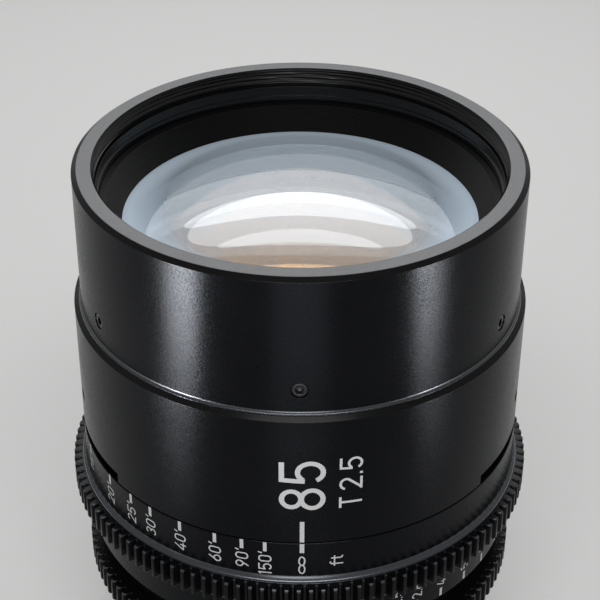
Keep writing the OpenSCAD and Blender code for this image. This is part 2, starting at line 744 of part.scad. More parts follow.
module front_ring() color(black_anodised) difference() {
  filter_r = filter_d / 2;
  relief_out = 0.5;
  turned([
    [front_bore_r, z_front], [front_r - foot_break, z_front], [front_r, z_front + foot_break],
    [front_r, z_rim - rim_edge_h], [front_r - rim_edge_w, z_rim], [filter_r + mouth_break, z_rim],
    [filter_r, z_rim - mouth_break], [filter_r, z_rim - filter_len],
    [filter_r + relief_out, z_rim - filter_len],
    [filter_r + relief_out, z_rim - filter_len - filter_relief],
    [lip_bore_r + ledge_w, z_rim - filter_len - filter_relief], [lip_bore_r + ledge_w, z_rim - ledge_drop],
    [lip_bore_r, z_rim - ledge_drop], [lip_bore_r, front_cell_top + seat_gap],
    [front_bore_r, front_cell_top + seat_gap]]);
  set_screw_places() radial_rod(set_screw_d / 2 + hole_gap, front_bore_r - past, front_r + past, set_screw_z);
}

module front_ring_screws() color(black_satin) set_screw_places()
  socket_screw(set_screw_d, front_bore_r + seat_gap, front_r - screw_sink, set_screw_z);

module front_baffle() color(black_satin) {
  foot_r = baffle_d / 2;
  mouth_r = baffle_mouth_d / 2;
  flange_r = baffle_flange_d / 2;
  rise = (baffle_top - baffle_foot) / ridge_count;
  spread = (mouth_r - foot_r) / ridge_count;
  turned(concat(
    [for (i = [0:ridge_count - 1], half = [0, 0.5])
      [foot_r + spread * (i + half) + (half > 0 ? ridge_depth : 0), baffle_foot + rise * (i + half)]],
    [[mouth_r, baffle_top], [flange_r, baffle_top], [flange_r, baffle_flange_foot],
     [skirt_r, baffle_flange_foot], [skirt_r, skirt_foot], [front_glass_d / 2, skirt_foot],
     [foot_r + baffle_toe, baffle_foot]]));
}

module front_cell() color(black_satin) turned([
  [second_ring_r, z_front], [cell_r, z_front], [cell_r, front_cell_top],
  [skirt_r + seat_gap, front_cell_top], [skirt_r + seat_gap, front_rim],
  [front_glass_d / 2 + seat_gap, front_rim], [front_glass_d / 2 + seat_gap, front_edge - seat_gap],
  [second_glass_d / 2 + seat_gap, front_edge - seat_gap],
  [second_glass_d / 2 + seat_gap, second_edge - seat_gap], [second_ring_r, second_edge - seat_gap]]);

module front_element() color(glass_colour)
  element(front_glass_d, front_edge, front_crown + past,
    [front_crown, front_glass_r], [front_back, front_glass_back_r]);

module second_element() color(glass_colour)
  element(second_glass_d, second_edge, second_crown + past,
    [second_crown, second_glass_r], [second_back, second_glass_back_r]);

module second_element_ring() color(black_satin)
  ring(second_ring_r, second_glass_d / 2, second_ring_foot, second_ring_foot + second_ring_h);

// Focus group

module focus_cell() color(black_satin) difference() {
  glass_r = focus_glass_d / 2 + seat_gap;
  doublet_bore_r = doublet_d / 2 + seat_gap;
  turned([
    [doublet_ring_r, focus_foot], [slide_r, focus_foot], [slide_r, focus_foot + focus_cell_len],
    [glass_r, focus_foot + focus_cell_len], [glass_r, focus_edge - seat_gap],
    [doublet_bore_r, focus_edge - seat_gap], [doublet_bore_r, doublet_edge - seat_gap],
    [doublet_ring_r, doublet_edge - seat_gap]]);
  follower_places()
    radial_rod(follower_d / 2 + hole_gap, follower_seat_r - hole_gap, slide_r + past, follower_z);
}

module cam_followers() color(brass_colour)
  follower_places() radial_rod(follower_d / 2, follower_seat_r, cam_r, follower_z);

module focus_element() color(glass_colour)
  element(focus_glass_d, focus_edge, focus_crown + past,
    [focus_crown, focus_glass_r], [focus_back, focus_glass_back_r]);

module focus_element_ring() color(black_satin)
  ring(focus_ring_r, focus_glass_d / 2, focus_ring_foot, focus_ring_foot + focus_ring_h);

module focus_doublet_front() color(glass_colour)
  element(doublet_d, doublet_joint, doublet_crown + past,
    [doublet_crown, doublet_r], [doublet_joint, -doublet_cement_r]);

module focus_doublet_back() color(glass_colour)
  element(doublet_d, doublet_edge, doublet_joint - seat_gap + sag(doublet_cement_r, doublet_d / 2),
    [doublet_joint - seat_gap, -doublet_cement_r], [doublet_back, doublet_back_r]);

module focus_doublet_ring() color(black_satin)
  ring(doublet_ring_r, doublet_d / 2, doublet_ring_foot, focus_edge - seat_gap);

// Iris

// Place of a blade's drive pin when the blade has swung by the angle a
function drive_pin_place(a) =
  [blade_pivot_r, 0] + blade_arm * [cos(a - blade_arm_deg), sin(a - blade_arm_deg)];
function turned_by(a, p) = [p[0] * cos(a) - p[1] * sin(a), p[0] * sin(a) + p[1] * cos(a)];

// A flat strip of half width r from one point to another
module strip(p, q, r, h) {
  way = q - p;
  translate(p) rotate(atan2(way[1], way[0])) translate([0, -r, 0]) cube([norm(way), 2 * r, h]);
}

// One blade: its sheet, the arms to its pins with a round ear at each, and the two pins
module iris_blade(i) color(black_satin) {
  neck_deg = 3;
  shoulder = 0.1;
  middle_r = (blade_inner_r + blade_outer_r) / 2;
  z = z_blades + (i - 1) * blade_pitch;
  pin = drive_pin_place(0);
  pivot = [blade_pivot_r, 0];
  root = middle_r * [cos(blade_start + neck_deg), sin(blade_start + neck_deg)];
  arm_r = blade_ear_r - shoulder;
  pin_root = z + blade_t / 2;
  rotate(blade_step * (i - 1)) {
    translate([0, 0, z]) {
      rotate(blade_start) rotate_extrude(angle = blade_span - blade_start)
        translate([blade_inner_r, 0]) square([blade_outer_r - blade_inner_r, blade_t]);
      translate(turned_by(blade_span, [middle_r, 0]))
        cylinder(r = (blade_outer_r - blade_inner_r) / 2 - shoulder, h = blade_t);
      for (c = [pivot, pin]) translate(c) cylinder(r = blade_ear_r, h = blade_t);
      for (c = [root, pin]) strip(pivot, c, arm_r, blade_t);
    }
    translate([blade_pivot_r, 0, z_carrier + blade_gap])
      cylinder(r = blade_pin_r, h = pin_root - z_carrier - blade_gap);
    translate([pin[0], pin[1], pin_root])
      cylinder(r = blade_pin_r, h = z_drive_ring_top - blade_gap - pin_root);
  }
}

module blade_carrier() color(steel) difference() {
  stop_r = blade_inner_r - running_gap;
  turned([
    [stop_r, z_carrier], [inner_r, z_carrier], [inner_r, z_drive_ring - running_gap],
    [inner_r - carrier_rim, z_drive_ring - running_gap], [inner_r - carrier_rim, z_carrier + carrier_t],
    [stop_r, z_carrier + carrier_t]]);
  for (i = [0:blade_count - 1]) rotate(blade_step * i) translate([blade_pivot_r, 0, z_carrier + running_gap])
    cylinder(r = blade_pin_r + running_gap, h = carrier_t + past);
}

// The cam slot of one blade: the path of its drive pin as the drive ring turns under it
module blade_slot() {
  steps = 12;
  half = blade_pin_r + running_gap;
  path = [for (k = [0:steps]) turned_by(-iris_turn * k / steps, drive_pin_place(blade_swing * k / steps))];
  outer = [for (p = path) p * (1 + half / norm(p))];
  inner = [for (k = [steps:-1:0]) path[k] * (1 - half / norm(path[k]))];
  translate([0, 0, z_drive_ring - past]) {
    linear_extrude(drive_ring_t + 2 * past) polygon(concat(outer, inner));
    for (p = [path[0], path[steps]])
      translate(p) cylinder(r = half + slot_relief, h = drive_ring_t + 2 * past);
  }
}

module blade_drive_ring() color(brass_colour) difference() {
  ring(drive_ring_bore_d / 2, slide_r, z_drive_ring, z_drive_ring_top);
  for (i = [0:blade_count - 1]) rotate(blade_step * i) blade_slot();
  at_azimuth(iris_pin_az)
    radial_rod(iris_pin_d / 2 + hole_gap, slide_r - carrier_rim - hole_gap, slide_r + past, iris_pin_z);
}

module iris_retaining_ring() color(black_satin)
  ring(inner_r - guide_wall, inner_r, z_iris_cap, z_iris_cap + iris_cap_h);

// Rear group

module rear_cell() color(black_satin) turned([
  [rear_glass_d / 2 + seat_gap, -tail_len], [tail_r, -tail_len], [tail_r, z_floor], [inner_r, z_floor],
  [inner_r, z_carrier], [rear_doublet_d / 2 + seat_gap, z_carrier],
  [rear_doublet_d / 2 + seat_gap, rear_lip_top], [rear_lip_r, rear_lip_top],
  [rear_lip_r, rear_lip_foot], [rear_glass_d / 2 + seat_gap, rear_lip_foot]]);

module rear_doublet_front() color(glass_colour)
  element(rear_doublet_d, rear_joint - sag(rear_cement_r, rear_doublet_d / 2), rear_doublet_rim - seat_gap,
    [rear_doublet_crown, -rear_doublet_r], [rear_joint, rear_cement_r]);

module rear_doublet_back() color(glass_colour)
  element(rear_doublet_d, rear_doublet_back, rear_joint,
    [rear_joint - seat_gap, rear_cement_r], [rear_doublet_back, -rear_doublet_back_r]);

module rear_doublet_ring() color(black_satin)
  ring(rear_doublet_ring_r, rear_doublet_d / 2, rear_doublet_rim, z_carrier - seat_gap);

module rear_element() color(glass_colour)
  element(rear_glass_d, rear_back, rear_crown + past,
    [rear_crown, rear_glass_r], [rear_back, -rear_glass_back_r]);

module rear_retaining_ring() color(black_satin)
  ring(rear_ring_bore_r, rear_glass_d / 2, rear_ring_top - rear_ring_h, rear_ring_top);

lens_mount();
mount_shim();
mount_screws();
rear_barrel();
iris_ring();
iris_gear();
iris_drive_pin();
stop_scale_ring();
focus_ring();
focus_gear();
cam_sleeve();
cam_drive_screws();
guide_sleeve();
barrel_tube();
index_barrel();
barrel_screws();
front_ring();
front_ring_screws();
front_baffle();
front_cell();
front_element();
second_element();
second_element_ring();
focus_cell();
cam_followers();
focus_element();
focus_element_ring();
focus_doublet_front();
focus_doublet_back();
focus_doublet_ring();
blade_carrier();
blade_drive_ring();
iris_retaining_ring();
rear_cell();
rear_doublet_front();
rear_doublet_back();
rear_doublet_ring();
rear_element();
rear_retaining_ring();
for (i = [1:blade_count]) iris_blade(i);
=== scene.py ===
# Looks of the cinema prime lens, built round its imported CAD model
import json
import math
import bpy
import bmesh
import numpy as np
from mathutils import Matrix, Vector


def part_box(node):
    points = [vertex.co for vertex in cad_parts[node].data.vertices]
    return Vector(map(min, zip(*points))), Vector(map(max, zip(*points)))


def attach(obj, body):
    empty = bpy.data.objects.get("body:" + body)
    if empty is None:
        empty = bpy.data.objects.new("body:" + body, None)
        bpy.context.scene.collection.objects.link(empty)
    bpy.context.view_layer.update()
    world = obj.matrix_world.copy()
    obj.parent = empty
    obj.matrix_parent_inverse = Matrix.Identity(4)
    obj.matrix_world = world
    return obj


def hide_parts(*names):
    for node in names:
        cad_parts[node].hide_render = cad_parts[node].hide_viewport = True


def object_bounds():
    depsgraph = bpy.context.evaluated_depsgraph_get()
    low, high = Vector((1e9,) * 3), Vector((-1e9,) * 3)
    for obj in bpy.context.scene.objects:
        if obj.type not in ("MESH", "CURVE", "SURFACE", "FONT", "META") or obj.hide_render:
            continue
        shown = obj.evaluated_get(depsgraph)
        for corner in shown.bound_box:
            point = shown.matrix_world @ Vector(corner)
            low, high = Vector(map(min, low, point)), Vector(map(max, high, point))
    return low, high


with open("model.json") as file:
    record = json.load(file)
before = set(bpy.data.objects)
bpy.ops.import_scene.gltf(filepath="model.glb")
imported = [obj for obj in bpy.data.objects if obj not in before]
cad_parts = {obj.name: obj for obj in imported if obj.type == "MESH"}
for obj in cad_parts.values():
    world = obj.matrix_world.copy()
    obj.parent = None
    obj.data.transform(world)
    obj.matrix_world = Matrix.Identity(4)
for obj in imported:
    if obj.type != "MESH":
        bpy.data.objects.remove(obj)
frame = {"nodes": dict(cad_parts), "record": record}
cadBox = [list(corner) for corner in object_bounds()]
scene = bpy.context.scene
scene.view_settings.view_transform = "Standard"
mm = 0.001
print("frame loaded with", len(frame["nodes"]), "nodes")

# Camera: fitted to the outlines of the rings in the photograph

photoView = {
    "imageSide": 600,
    "focalPixels": 1601.7,
    "sensorWidth": 36.0,
    "place": (0.0, -0.29475, 0.2731),
    "pitchDown": 33.16,
    "roll": 0.243,
    "clipStart": 0.01,
}
cameraData = bpy.data.cameras.new("photoCamera")
cameraData.sensor_width = photoView["sensorWidth"]
cameraData.lens = photoView["focalPixels"] / photoView["imageSide"] * photoView["sensorWidth"]
cameraData.clip_start = photoView["clipStart"]
camera = bpy.data.objects.new("photoCamera", cameraData)
scene.collection.objects.link(camera)
camera.matrix_world = (
    Matrix.Translation(photoView["place"])
    @ Matrix.Rotation(math.radians(90 - photoView["pitchDown"]), 4, "X")
    @ Matrix.Rotation(math.radians(photoView["roll"]), 4, "Z"))
scene.camera = camera
print("camera placed")

# Mesh tools. Shapes are worked out in millimetres; azimuth runs from the front (-Y) towards +X

turnColumns = 480
columnStep = 2 * math.pi / turnColumns


# Point at a radius and a height, turned to an azimuth
def turnPoint(radius, height, azimuth):
    radius, height, azimuth = np.broadcast_arrays(radius, height, azimuth)
    return np.stack([radius * np.sin(azimuth), -radius * np.cos(azimuth), height], axis=-1)


# An angle brought between half a turn back and half a turn ahead
def wrapTurn(angle):
    return np.angle(np.exp(1j * angle))


# Quads between rows of points that each run round and close on themselves
def roundQuads(ids):
    ids = np.hstack([ids, ids[:, :1]])
    return np.stack([ids[:-1, :-1], ids[:-1, 1:], ids[1:, 1:], ids[1:, :-1]], axis=-1)


# Quads of a grid whose first index runs along the profile and whose second runs round it
def gridQuads(rows, columns, closedRows):
    ids = np.arange(rows * columns).reshape(rows, columns)
    return roundQuads(np.vstack([ids, ids[:1]]) if closedRows else ids)


# Each corner gives way to a parabola between points a short reach along its two edges, with one more
# point just past each end so that the flats beside it shade flat
softEdge = {"steps": 4, "mostOfEdge": 0.3, "flatRun": 1.4}
pointsPerCorner = softEdge["steps"] + 3


def softProfile(corners, reach):
    corners = np.asarray(corners, float)
    back = np.roll(corners, 1, axis=0) - corners
    ahead = np.roll(corners, -1, axis=0) - corners
    backLength = np.linalg.norm(back, axis=1, keepdims=True)
    aheadLength = np.linalg.norm(ahead, axis=1, keepdims=True)
    reach = np.broadcast_to(np.asarray(reach, float).reshape(-1, 1), (len(corners), 1))
    reach = np.minimum(reach, softEdge["mostOfEdge"] * np.minimum(backLength, aheadLength))
    start = corners + back / backLength * reach
    end = corners + ahead / aheadLength * reach
    share = np.linspace(0, 1, softEdge["steps"] + 1)[None, :, None]
    bend = ((1 - share) ** 2 * start[:, None] + 2 * share * (1 - share) * corners[:, None]
            + share ** 2 * end[:, None])
    before = corners + back / backLength * reach * softEdge["flatRun"]
    after = corners + ahead / aheadLength * reach * softEdge["flatRun"]
    return np.concatenate([before[:, None], bend, after[:, None]], axis=1).reshape(-1, 2)


# Extra rows at the given heights on the straight wall of that radius, with the wall's zone
def addWallRows(profile, zone, wallRadius, heights):
    ahead = np.roll(profile, -1, axis=0)
    low = np.minimum(profile[:, 1], ahead[:, 1])
    high = np.maximum(profile[:, 1], ahead[:, 1])
    onWall = ((np.abs(profile[:, 0] - wallRadius) < 1e-6) & (np.abs(ahead[:, 0] - wallRadius) < 1e-6)
              & (low < min(heights)) & (high > max(heights)))
    place = int(np.flatnonzero(onWall)[0])
    heights = np.sort(heights)
    if profile[place, 1] > ahead[place, 1]:
        heights = heights[::-1]
    rows = np.stack([np.full(len(heights), wallRadius), heights], axis=1)
    zoneRows = np.full(len(heights), zone[place])
    return np.insert(profile, place + 1, rows, axis=0), np.insert(zone, place + 1, zoneRows)


# Cells of a wall round each hole give way to a patch whose loops run from the border of the cells
# onto the hole's circle, over its edge break, down its wall and onto its floor. The first loops are listed
# as what they add to the hole's radius and how deep they lie
holeLoops = ((1.0, 0.0), (0.16, 0.0), (0.10, 0.0), (0.04, 0.015), (0.0, 0.07))


def drillWall(points, quads, zone, azimuths, hole):
    wallRadius = hole["wall"]
    rows, columns = points.shape[:2]
    heights = points[:, 0, 2]
    radii = np.hypot(points[:, 0, 0], points[:, 0, 1])
    half = hole["halfCells"]
    wallRows = np.flatnonzero((np.abs(radii - wallRadius) < 1e-6)
                              & (np.abs(heights - hole["height"]) < half * hole["rowStep"] + 1e-6))
    firstRow, lastRow = wallRows[0], wallRows[-1]
    keep = np.ones(quads.shape[:2], bool)
    allPoints = [points.reshape(-1, 3)]
    allQuads, allZones = [], []
    count = rows * columns
    lowLoops = ((0.0, hole["depth"]), (-hole["radius"], hole["depth"]))
    growth, depths = np.array(holeLoops + lowLoops).T
    for azimuth in np.radians(list(hole["azimuths"])):
        middle = int(np.argmin(np.abs(wrapTurn(azimuths - azimuth))))
        across = (middle + np.arange(-half, half + 1)) % columns
        along = np.arange(firstRow, lastRow + 1)
        keep[np.ix_(along[:-1], across[:-1])] = False
        border = np.concatenate([firstRow * columns + across[:-1], along[:-1] * columns + across[-1],
                                 lastRow * columns + across[:0:-1], along[:0:-1] * columns + across[0]])
        edge = points.reshape(-1, 3)[border]
        sideways = wrapTurn(np.arctan2(edge[:, 0], -edge[:, 1]) - azimuth) * wallRadius
        upward = edge[:, 2] - hole["height"]
        reachOut = np.hypot(sideways, upward)
        circle = (hole["radius"] + growth)[:, None] / reachOut[None, :]
        circle[0] = 0.5 * (1 + circle[0])
        loop = turnPoint((wallRadius - depths)[:, None], hole["height"] + upward * circle,
                         azimuth + sideways * circle / wallRadius)
        added = np.arange(len(depths) * len(border)).reshape(-1, len(border))
        patch = roundQuads(np.vstack([border, count + added])).reshape(-1, 4)
        allPoints.append(loop.reshape(-1, 3))
        allQuads.append(patch)
        allZones.append(np.full(len(patch), zone[firstRow]))
        count += added.size
    faceZone = np.broadcast_to(zone[:quads.shape[0], None], quads.shape[:2])
    return (np.vstack(allPoints), np.vstack([quads[keep]] + allQuads),
            np.concatenate([faceZone[keep]] + allZones))


# Puts points in millimetres and their faces into a piece that rides on a body, is smooth but for edges
# sharper than sharpAngle, and stands for the nodes it replaces
def makePiece(name, points, faces, materials, body, nodes=(), faceZone=None, merge=False,
              sharpAngle=50):
    mesh = bpy.data.meshes.new(name)
    faces = faces.reshape(-1, faces.shape[-1])
    mesh.from_pydata((points.reshape(-1, 3) * mm).tolist(), [], faces.tolist())
    for material in materials:
        mesh.materials.append(material)
    if faceZone is not None:
        mesh.polygons.foreach_set("material_index", np.asarray(faceZone, np.int32).ravel())
    if merge:
        work = bmesh.new()
        work.from_mesh(mesh)
        bmesh.ops.remove_doubles(work, verts=work.verts, dist=1e-8)
        work.to_mesh(mesh)
        work.free()
    mesh.shade_smooth()
    mesh.set_sharp_from_angle(angle=math.radians(sharpAngle))
    mesh.update()
    piece = bpy.data.objects.new(name, mesh)
    scene.collection.objects.link(piece)
    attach(piece, body)
    if nodes:
        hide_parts(*nodes)
    return piece


# Outer radius, foot and top of a turned node, in millimetres
def turnedSize(node):
    low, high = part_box(node)
    return (high.x - low.x) / 2 / mm, low.z / mm, high.z / mm


# Node tools


def addNode(tree, kind, **settings):
    node = tree.nodes.new(kind)
    for key, value in settings.items():
        if key in node.inputs:
            node.inputs[key].default_value = value
        else:
            setattr(node, key, value)
    return node


def setSockets(node, values):
    for key, value in values.items():
        node.inputs[key].default_value = value


def newGroup(name, inputs, outputs):
    group = bpy.data.node_groups.new(name, "ShaderNodeTree")
    for socketName, value in inputs.items():
        socket = group.interface.new_socket(socketName, in_out="INPUT", socket_type="NodeSocketFloat")
        socket.default_value = value
    for socketName in outputs:
        group.interface.new_socket(socketName, in_out="OUTPUT", socket_type="NodeSocketFloat")
    return group, group.nodes.new("NodeGroupInput"), group.nodes.new("NodeGroupOutput")


noiseUse = {"from": 0.3, "to": 0.7, "slowShare": 0.35}


# Spreads the used middle of a noise between a group's Low and High
def spreadNoise(group, given, noise):
    spread = addNode(group, "ShaderNodeMapRange")
    setSockets(spread, {"From Min": noiseUse["from"], "From Max": noiseUse["to"]})
    group.links.new(noise, spread.inputs["Value"])
    group.links.new(given.outputs["Low"], spread.inputs["To Min"])
    group.links.new(given.outputs["High"], spread.inputs["To Max"])
    return spread.outputs["Result"]


# Blasted grain: fine bumps a fraction of a millimetre across, with a slower drift of the finish over it
def makeGrainGroup():
    group, given, result = newGroup(
        "blastedGrain", {"Grain Scale": 5200.0, "Drift Scale": 60.0, "Low": 0.3, "High": 0.5},
        ["Height", "Roughness", "Drift"])
    place = addNode(group, "ShaderNodeTexCoord")
    fine = addNode(group, "ShaderNodeTexNoise", Detail=2.0, Roughness=0.55)
    slow = addNode(group, "ShaderNodeTexNoise", Detail=3.0, Roughness=0.6)
    link = group.links.new
    link(place.outputs["Object"], fine.inputs["Vector"])
    link(place.outputs["Object"], slow.inputs["Vector"])
    link(given.outputs["Grain Scale"], fine.inputs["Scale"])
    link(given.outputs["Drift Scale"], slow.inputs["Scale"])
    both = addNode(group, "ShaderNodeMath", operation="MULTIPLY_ADD")
    both.inputs[1].default_value = noiseUse["slowShare"]
    link(slow.outputs["Fac"], both.inputs[0])
    rest = addNode(group, "ShaderNodeMath", operation="MULTIPLY")
    rest.inputs[1].default_value = 1 - noiseUse["slowShare"]
    link(fine.outputs["Fac"], rest.inputs[0])
    link(rest.outputs[0], both.inputs[2])
    link(fine.outputs["Fac"], result.inputs["Height"])
    link(spreadNoise(group, given, both.outputs[0]), result.inputs["Roughness"])
    link(slow.outputs["Fac"], result.inputs["Drift"])
    return group


# Turned lines: waves that run round the axis, by the distance from the axis plus the height
def makeTurnedGroup():
    group, given, result = newGroup(
        "turnedLines", {"Lines per Metre": 9000.0, "Low": 0.2, "High": 0.35}, ["Height", "Roughness"])
    link = group.links.new
    place = addNode(group, "ShaderNodeTexCoord")
    parts = addNode(group, "ShaderNodeSeparateXYZ")
    link(place.outputs["Object"], parts.inputs[0])
    flat = addNode(group, "ShaderNodeCombineXYZ")
    link(parts.outputs["X"], flat.inputs["X"])
    link(parts.outputs["Y"], flat.inputs["Y"])
    out = addNode(group, "ShaderNodeVectorMath", operation="LENGTH")
    link(flat.outputs[0], out.inputs[0])
    total = addNode(group, "ShaderNodeMath", operation="ADD")
    link(out.outputs["Value"], total.inputs[0])
    link(parts.outputs["Z"], total.inputs[1])
    line = addNode(group, "ShaderNodeTexNoise", noise_dimensions="1D", Detail=2.0, Roughness=0.6)
    link(total.outputs[0], line.inputs["W"])
    link(given.outputs["Lines per Metre"], line.inputs["Scale"])
    link(line.outputs["Fac"], result.inputs["Height"])
    link(spreadNoise(group, given, line.outputs["Fac"]), result.inputs["Roughness"])
    return group


grainGroup = makeGrainGroup()
turnedGroup = makeTurnedGroup()
quarterTurn = 0.25  # turns a streak from along the tangent to across it


# A material whose grain or turned lines drive its roughness, its bump and a slight change of its tone
def makeFinish(name, finish):
    material = bpy.data.materials.new(name)
    material.use_nodes = True
    tree = material.node_tree
    link = tree.links.new
    shader = tree.nodes["Principled BSDF"]
    setSockets(shader, {"Metallic": finish.get("metallic", 0.0),
                        "Specular IOR Level": finish.get("specular", 0.5),
                        "Specular Tint": (*finish.get("specularTint", (1.0, 1.0, 1.0)), 1.0)})
    if "streak" in finish:
        around = addNode(tree, "ShaderNodeTangent", direction_type="RADIAL", axis="Z")
        link(around.outputs["Tangent"], shader.inputs["Tangent"])
        setSockets(shader, {"Anisotropic": finish["streak"], "Anisotropic Rotation": quarterTurn})
    effect = tree.nodes.new("ShaderNodeGroup")
    effect.node_tree = turnedGroup if finish.get("turned") else grainGroup
    setSockets(effect, {"Low": finish["rough"][0], "High": finish["rough"][1]})
    if "grain" in finish:
        effect.inputs["Grain Scale"].default_value = finish["grain"]
    link(effect.outputs["Roughness"], shader.inputs["Roughness"])
    bump = addNode(tree, "ShaderNodeBump", Strength=finish["bump"], Distance=finish["bumpDepth"] * mm)
    link(effect.outputs["Height"], bump.inputs["Height"])
    link(bump.outputs["Normal"], shader.inputs["Normal"])
    tone = addNode(tree, "ShaderNodeMix", data_type="RGBA")
    for place, shade in ((6, "dark"), (7, "light")):
        tone.inputs[place].default_value = (*np.broadcast_to(finish[shade], 3), 1.0)
    link(effect.outputs["Height" if finish.get("turned") else "Drift"], tone.inputs[0])
    link(tone.outputs[2], shader.inputs["Base Color"])
    return material


# rough is the range of roughness, dark and light are colours or plain greys
finishes = {
    "anodised": {"grain": 2600.0, "rough": (0.18, 0.36), "bump": 0.5, "bumpDepth": 0.03,
                 "dark": (0.0008, 0.0008, 0.001), "light": (0.0024, 0.0024, 0.003), "specular": 0.1,
                 "specularTint": (0.80, 0.87, 1.0), "streak": 0.7},
    # The rim's top face is black anodised like the barrel: its grey base colour is painted light, the sheen
    # of the soft boxes above on that face
    "rim": {"grain": 2600.0, "rough": (0.40, 0.6), "bump": 0.9, "bumpDepth": 0.03,
            "dark": (0.092, 0.094, 0.098), "light": (0.132, 0.135, 0.140)},
    "edge": {"rough": (0.12, 0.24), "bump": 0.03, "bumpDepth": 0.01, "dark": 0.002, "light": 0.004,
             "specular": 0.14},
    "lip": {"rough": (0.20, 0.32), "bump": 0.05, "bumpDepth": 0.01, "dark": 0.003, "light": 0.006,
            "specular": 1.0, "specularTint": (0.85, 0.91, 1.0)},
    "inside": {"turned": True, "rough": (0.14, 0.28), "bump": 0.12, "bumpDepth": 0.02, "dark": 0.002,
               "light": 0.004, "specular": 0.28},
    "baffle": {"turned": True, "rough": (0.40, 0.56), "bump": 0.1, "bumpDepth": 0.02, "dark": 0.002,
               "light": 0.004, "specular": 0.12},
    "gear": {"rough": (0.24, 0.40), "bump": 0.12, "bumpDepth": 0.02, "dark": (0.0015, 0.0015, 0.002),
             "light": (0.004, 0.004, 0.005), "specular": 0.15},
    "satin": {"turned": True, "rough": (0.34, 0.5), "bump": 0.08, "bumpDepth": 0.02,
              "dark": (0.006, 0.006, 0.007), "light": (0.010, 0.010, 0.011), "specular": 0.3},
    "screw": {"rough": (0.22, 0.34), "bump": 0.05, "bumpDepth": 0.01, "dark": (0.012, 0.012, 0.013),
              "light": (0.022, 0.022, 0.024), "metallic": 0.6},
    "blade": {"rough": (0.3, 0.42), "bump": 0.05, "bumpDepth": 0.01, "dark": (0.02, 0.02, 0.021),
              "light": (0.032, 0.032, 0.033), "metallic": 0.6},
    "steel": {"turned": True, "rough": (0.2, 0.32), "bump": 0.08, "bumpDepth": 0.02,
              "dark": (0.50, 0.50, 0.49), "light": (0.62, 0.62, 0.61), "metallic": 1.0},
    "brass": {"turned": True, "rough": (0.22, 0.36), "bump": 0.08, "bumpDepth": 0.02,
              "dark": (0.58, 0.41, 0.15), "light": (0.70, 0.52, 0.22), "metallic": 1.0},
    "white": {"rough": (0.45, 0.6), "bump": 0.1, "bumpDepth": 0.01, "dark": (0.46, 0.46, 0.47),
              "light": (0.55, 0.55, 0.56)},
}
paint = {name: makeFinish(name + "Finish", finish) for name, finish in finishes.items()}

# Coated glass: the coating dims and tints the mirror image, and the haze of the front face shows most at a
# flat angle. The share of the front face that is not clear is a diffuse pale blue, a painted reflection of
# the light that the inner surfaces send back out
coatings = {
    "frontFace": {"tint": (0.84, 0.92, 1.0), "index": 1.9, "mirror": (0.70, 0.75, 0.80), "clear": 0.90,
                  "haze": 1.0},
    "frontBack": {"tint": (0.95, 0.98, 1.0), "index": 1.9, "mirror": (0.70, 0.88, 1.0)},
    "amber": {"tint": (1.0, 0.50, 0.10), "index": 1.3, "mirror": (1.0, 0.52, 0.10), "metal": 0.13},
    "violet": {"tint": (0.98, 0.98, 1.0), "index": 1.25, "mirror": (0.50, 0.45, 0.70)},
}
# Painted reflection on the front face: it grows in steps between the radii from and to, where only the share
# clear stays clear, in a pale blue tint
paintedReflection = {"from": 29.0, "to": 36.5, "steps": 14, "clear": 0.1, "tint": (0.72, 0.86, 1.0)}
hazeLook = {"roughness": 0.5, "colour": (0.74, 0.87, 1.0)}


def makeGlass(name, coating):
    material = bpy.data.materials.new(name + "Coating")
    material.use_nodes = True
    shader = material.node_tree.nodes["Principled BSDF"]
    setSockets(shader, {"Base Color": (*coating["tint"], 1.0), "Metallic": coating.get("metal", 0.0),
                        "Transmission Weight": coating.get("clear", 1.0), "IOR": coating["index"],
                        "Roughness": 0.0, "Specular Tint": (*coating["mirror"], 1.0)})
    if "haze" in coating:
        setSockets(shader, {"Sheen Weight": coating["haze"], "Sheen Roughness": hazeLook["roughness"],
                            "Sheen Tint": (*hazeLook["colour"], 1.0)})
    return material


# Towards its edge the front face turns less clear and more diffuse pale blue in even steps, a painted
# reflection of light from inside the lens
paintedReflectionNames = ["frontVeil%d" % step for step in range(1, paintedReflection["steps"] + 1)]
for step, name in enumerate(paintedReflectionNames, 1):
    share = step / paintedReflection["steps"]
    coatings[name] = {**coatings["frontFace"], "tint": paintedReflection["tint"],
                      "clear": (1 - share) * coatings["frontFace"]["clear"] + share * paintedReflection["clear"]}
glass = {name: makeGlass(name, coating) for name, coating in coatings.items()}
print("materials made:", len(paint) + len(glass))


# A closed profile carried round the axis, which stands for a node. shift changes the radius by row and
# azimuth, and holes are drilled radially into the outer wall
def turnedPiece(name, node, corners, zoneNames, body="lens_body", reach=0.08,
                wallRows=(), shift=None, holes=None, extraAzimuths=()):
    zones = list(dict.fromkeys(zoneNames))
    zone = np.repeat([zones.index(z) for z in zoneNames], pointsPerCorner)
    profile = softProfile(corners, reach)
    for wallRadius, heights in wallRows:
        profile, zone = addWallRows(profile, zone, wallRadius, np.asarray(heights, float))
    azimuths = np.arange(turnColumns) * columnStep
    if len(extraAzimuths):
        azimuths = np.sort(np.concatenate([azimuths, np.radians(extraAzimuths) % (2 * math.pi)]))
    radius = np.repeat(profile[:, :1], len(azimuths), axis=1)
    height = np.repeat(profile[:, 1:], len(azimuths), axis=1)
    if shift:
        radius = shift(radius, height, azimuths[None, :])
    points = turnPoint(radius, height, azimuths[None, :])
    quads = gridQuads(len(profile), len(azimuths), True)
    if holes:
        points, faces, faceZone = drillWall(points, quads, zone, azimuths, holes)
    else:
        faces, faceZone = quads, np.repeat(zone, len(azimuths))
    makePiece(name, points, faces, [paint[z] for z in zones], body, [node], faceZone, merge=True)


# Heights of the extra rows round a hole
def holeRows(hole):
    return hole["height"] + np.arange(-hole["halfCells"], hole["halfCells"] + 1) * hole["rowStep"]


# Front ring

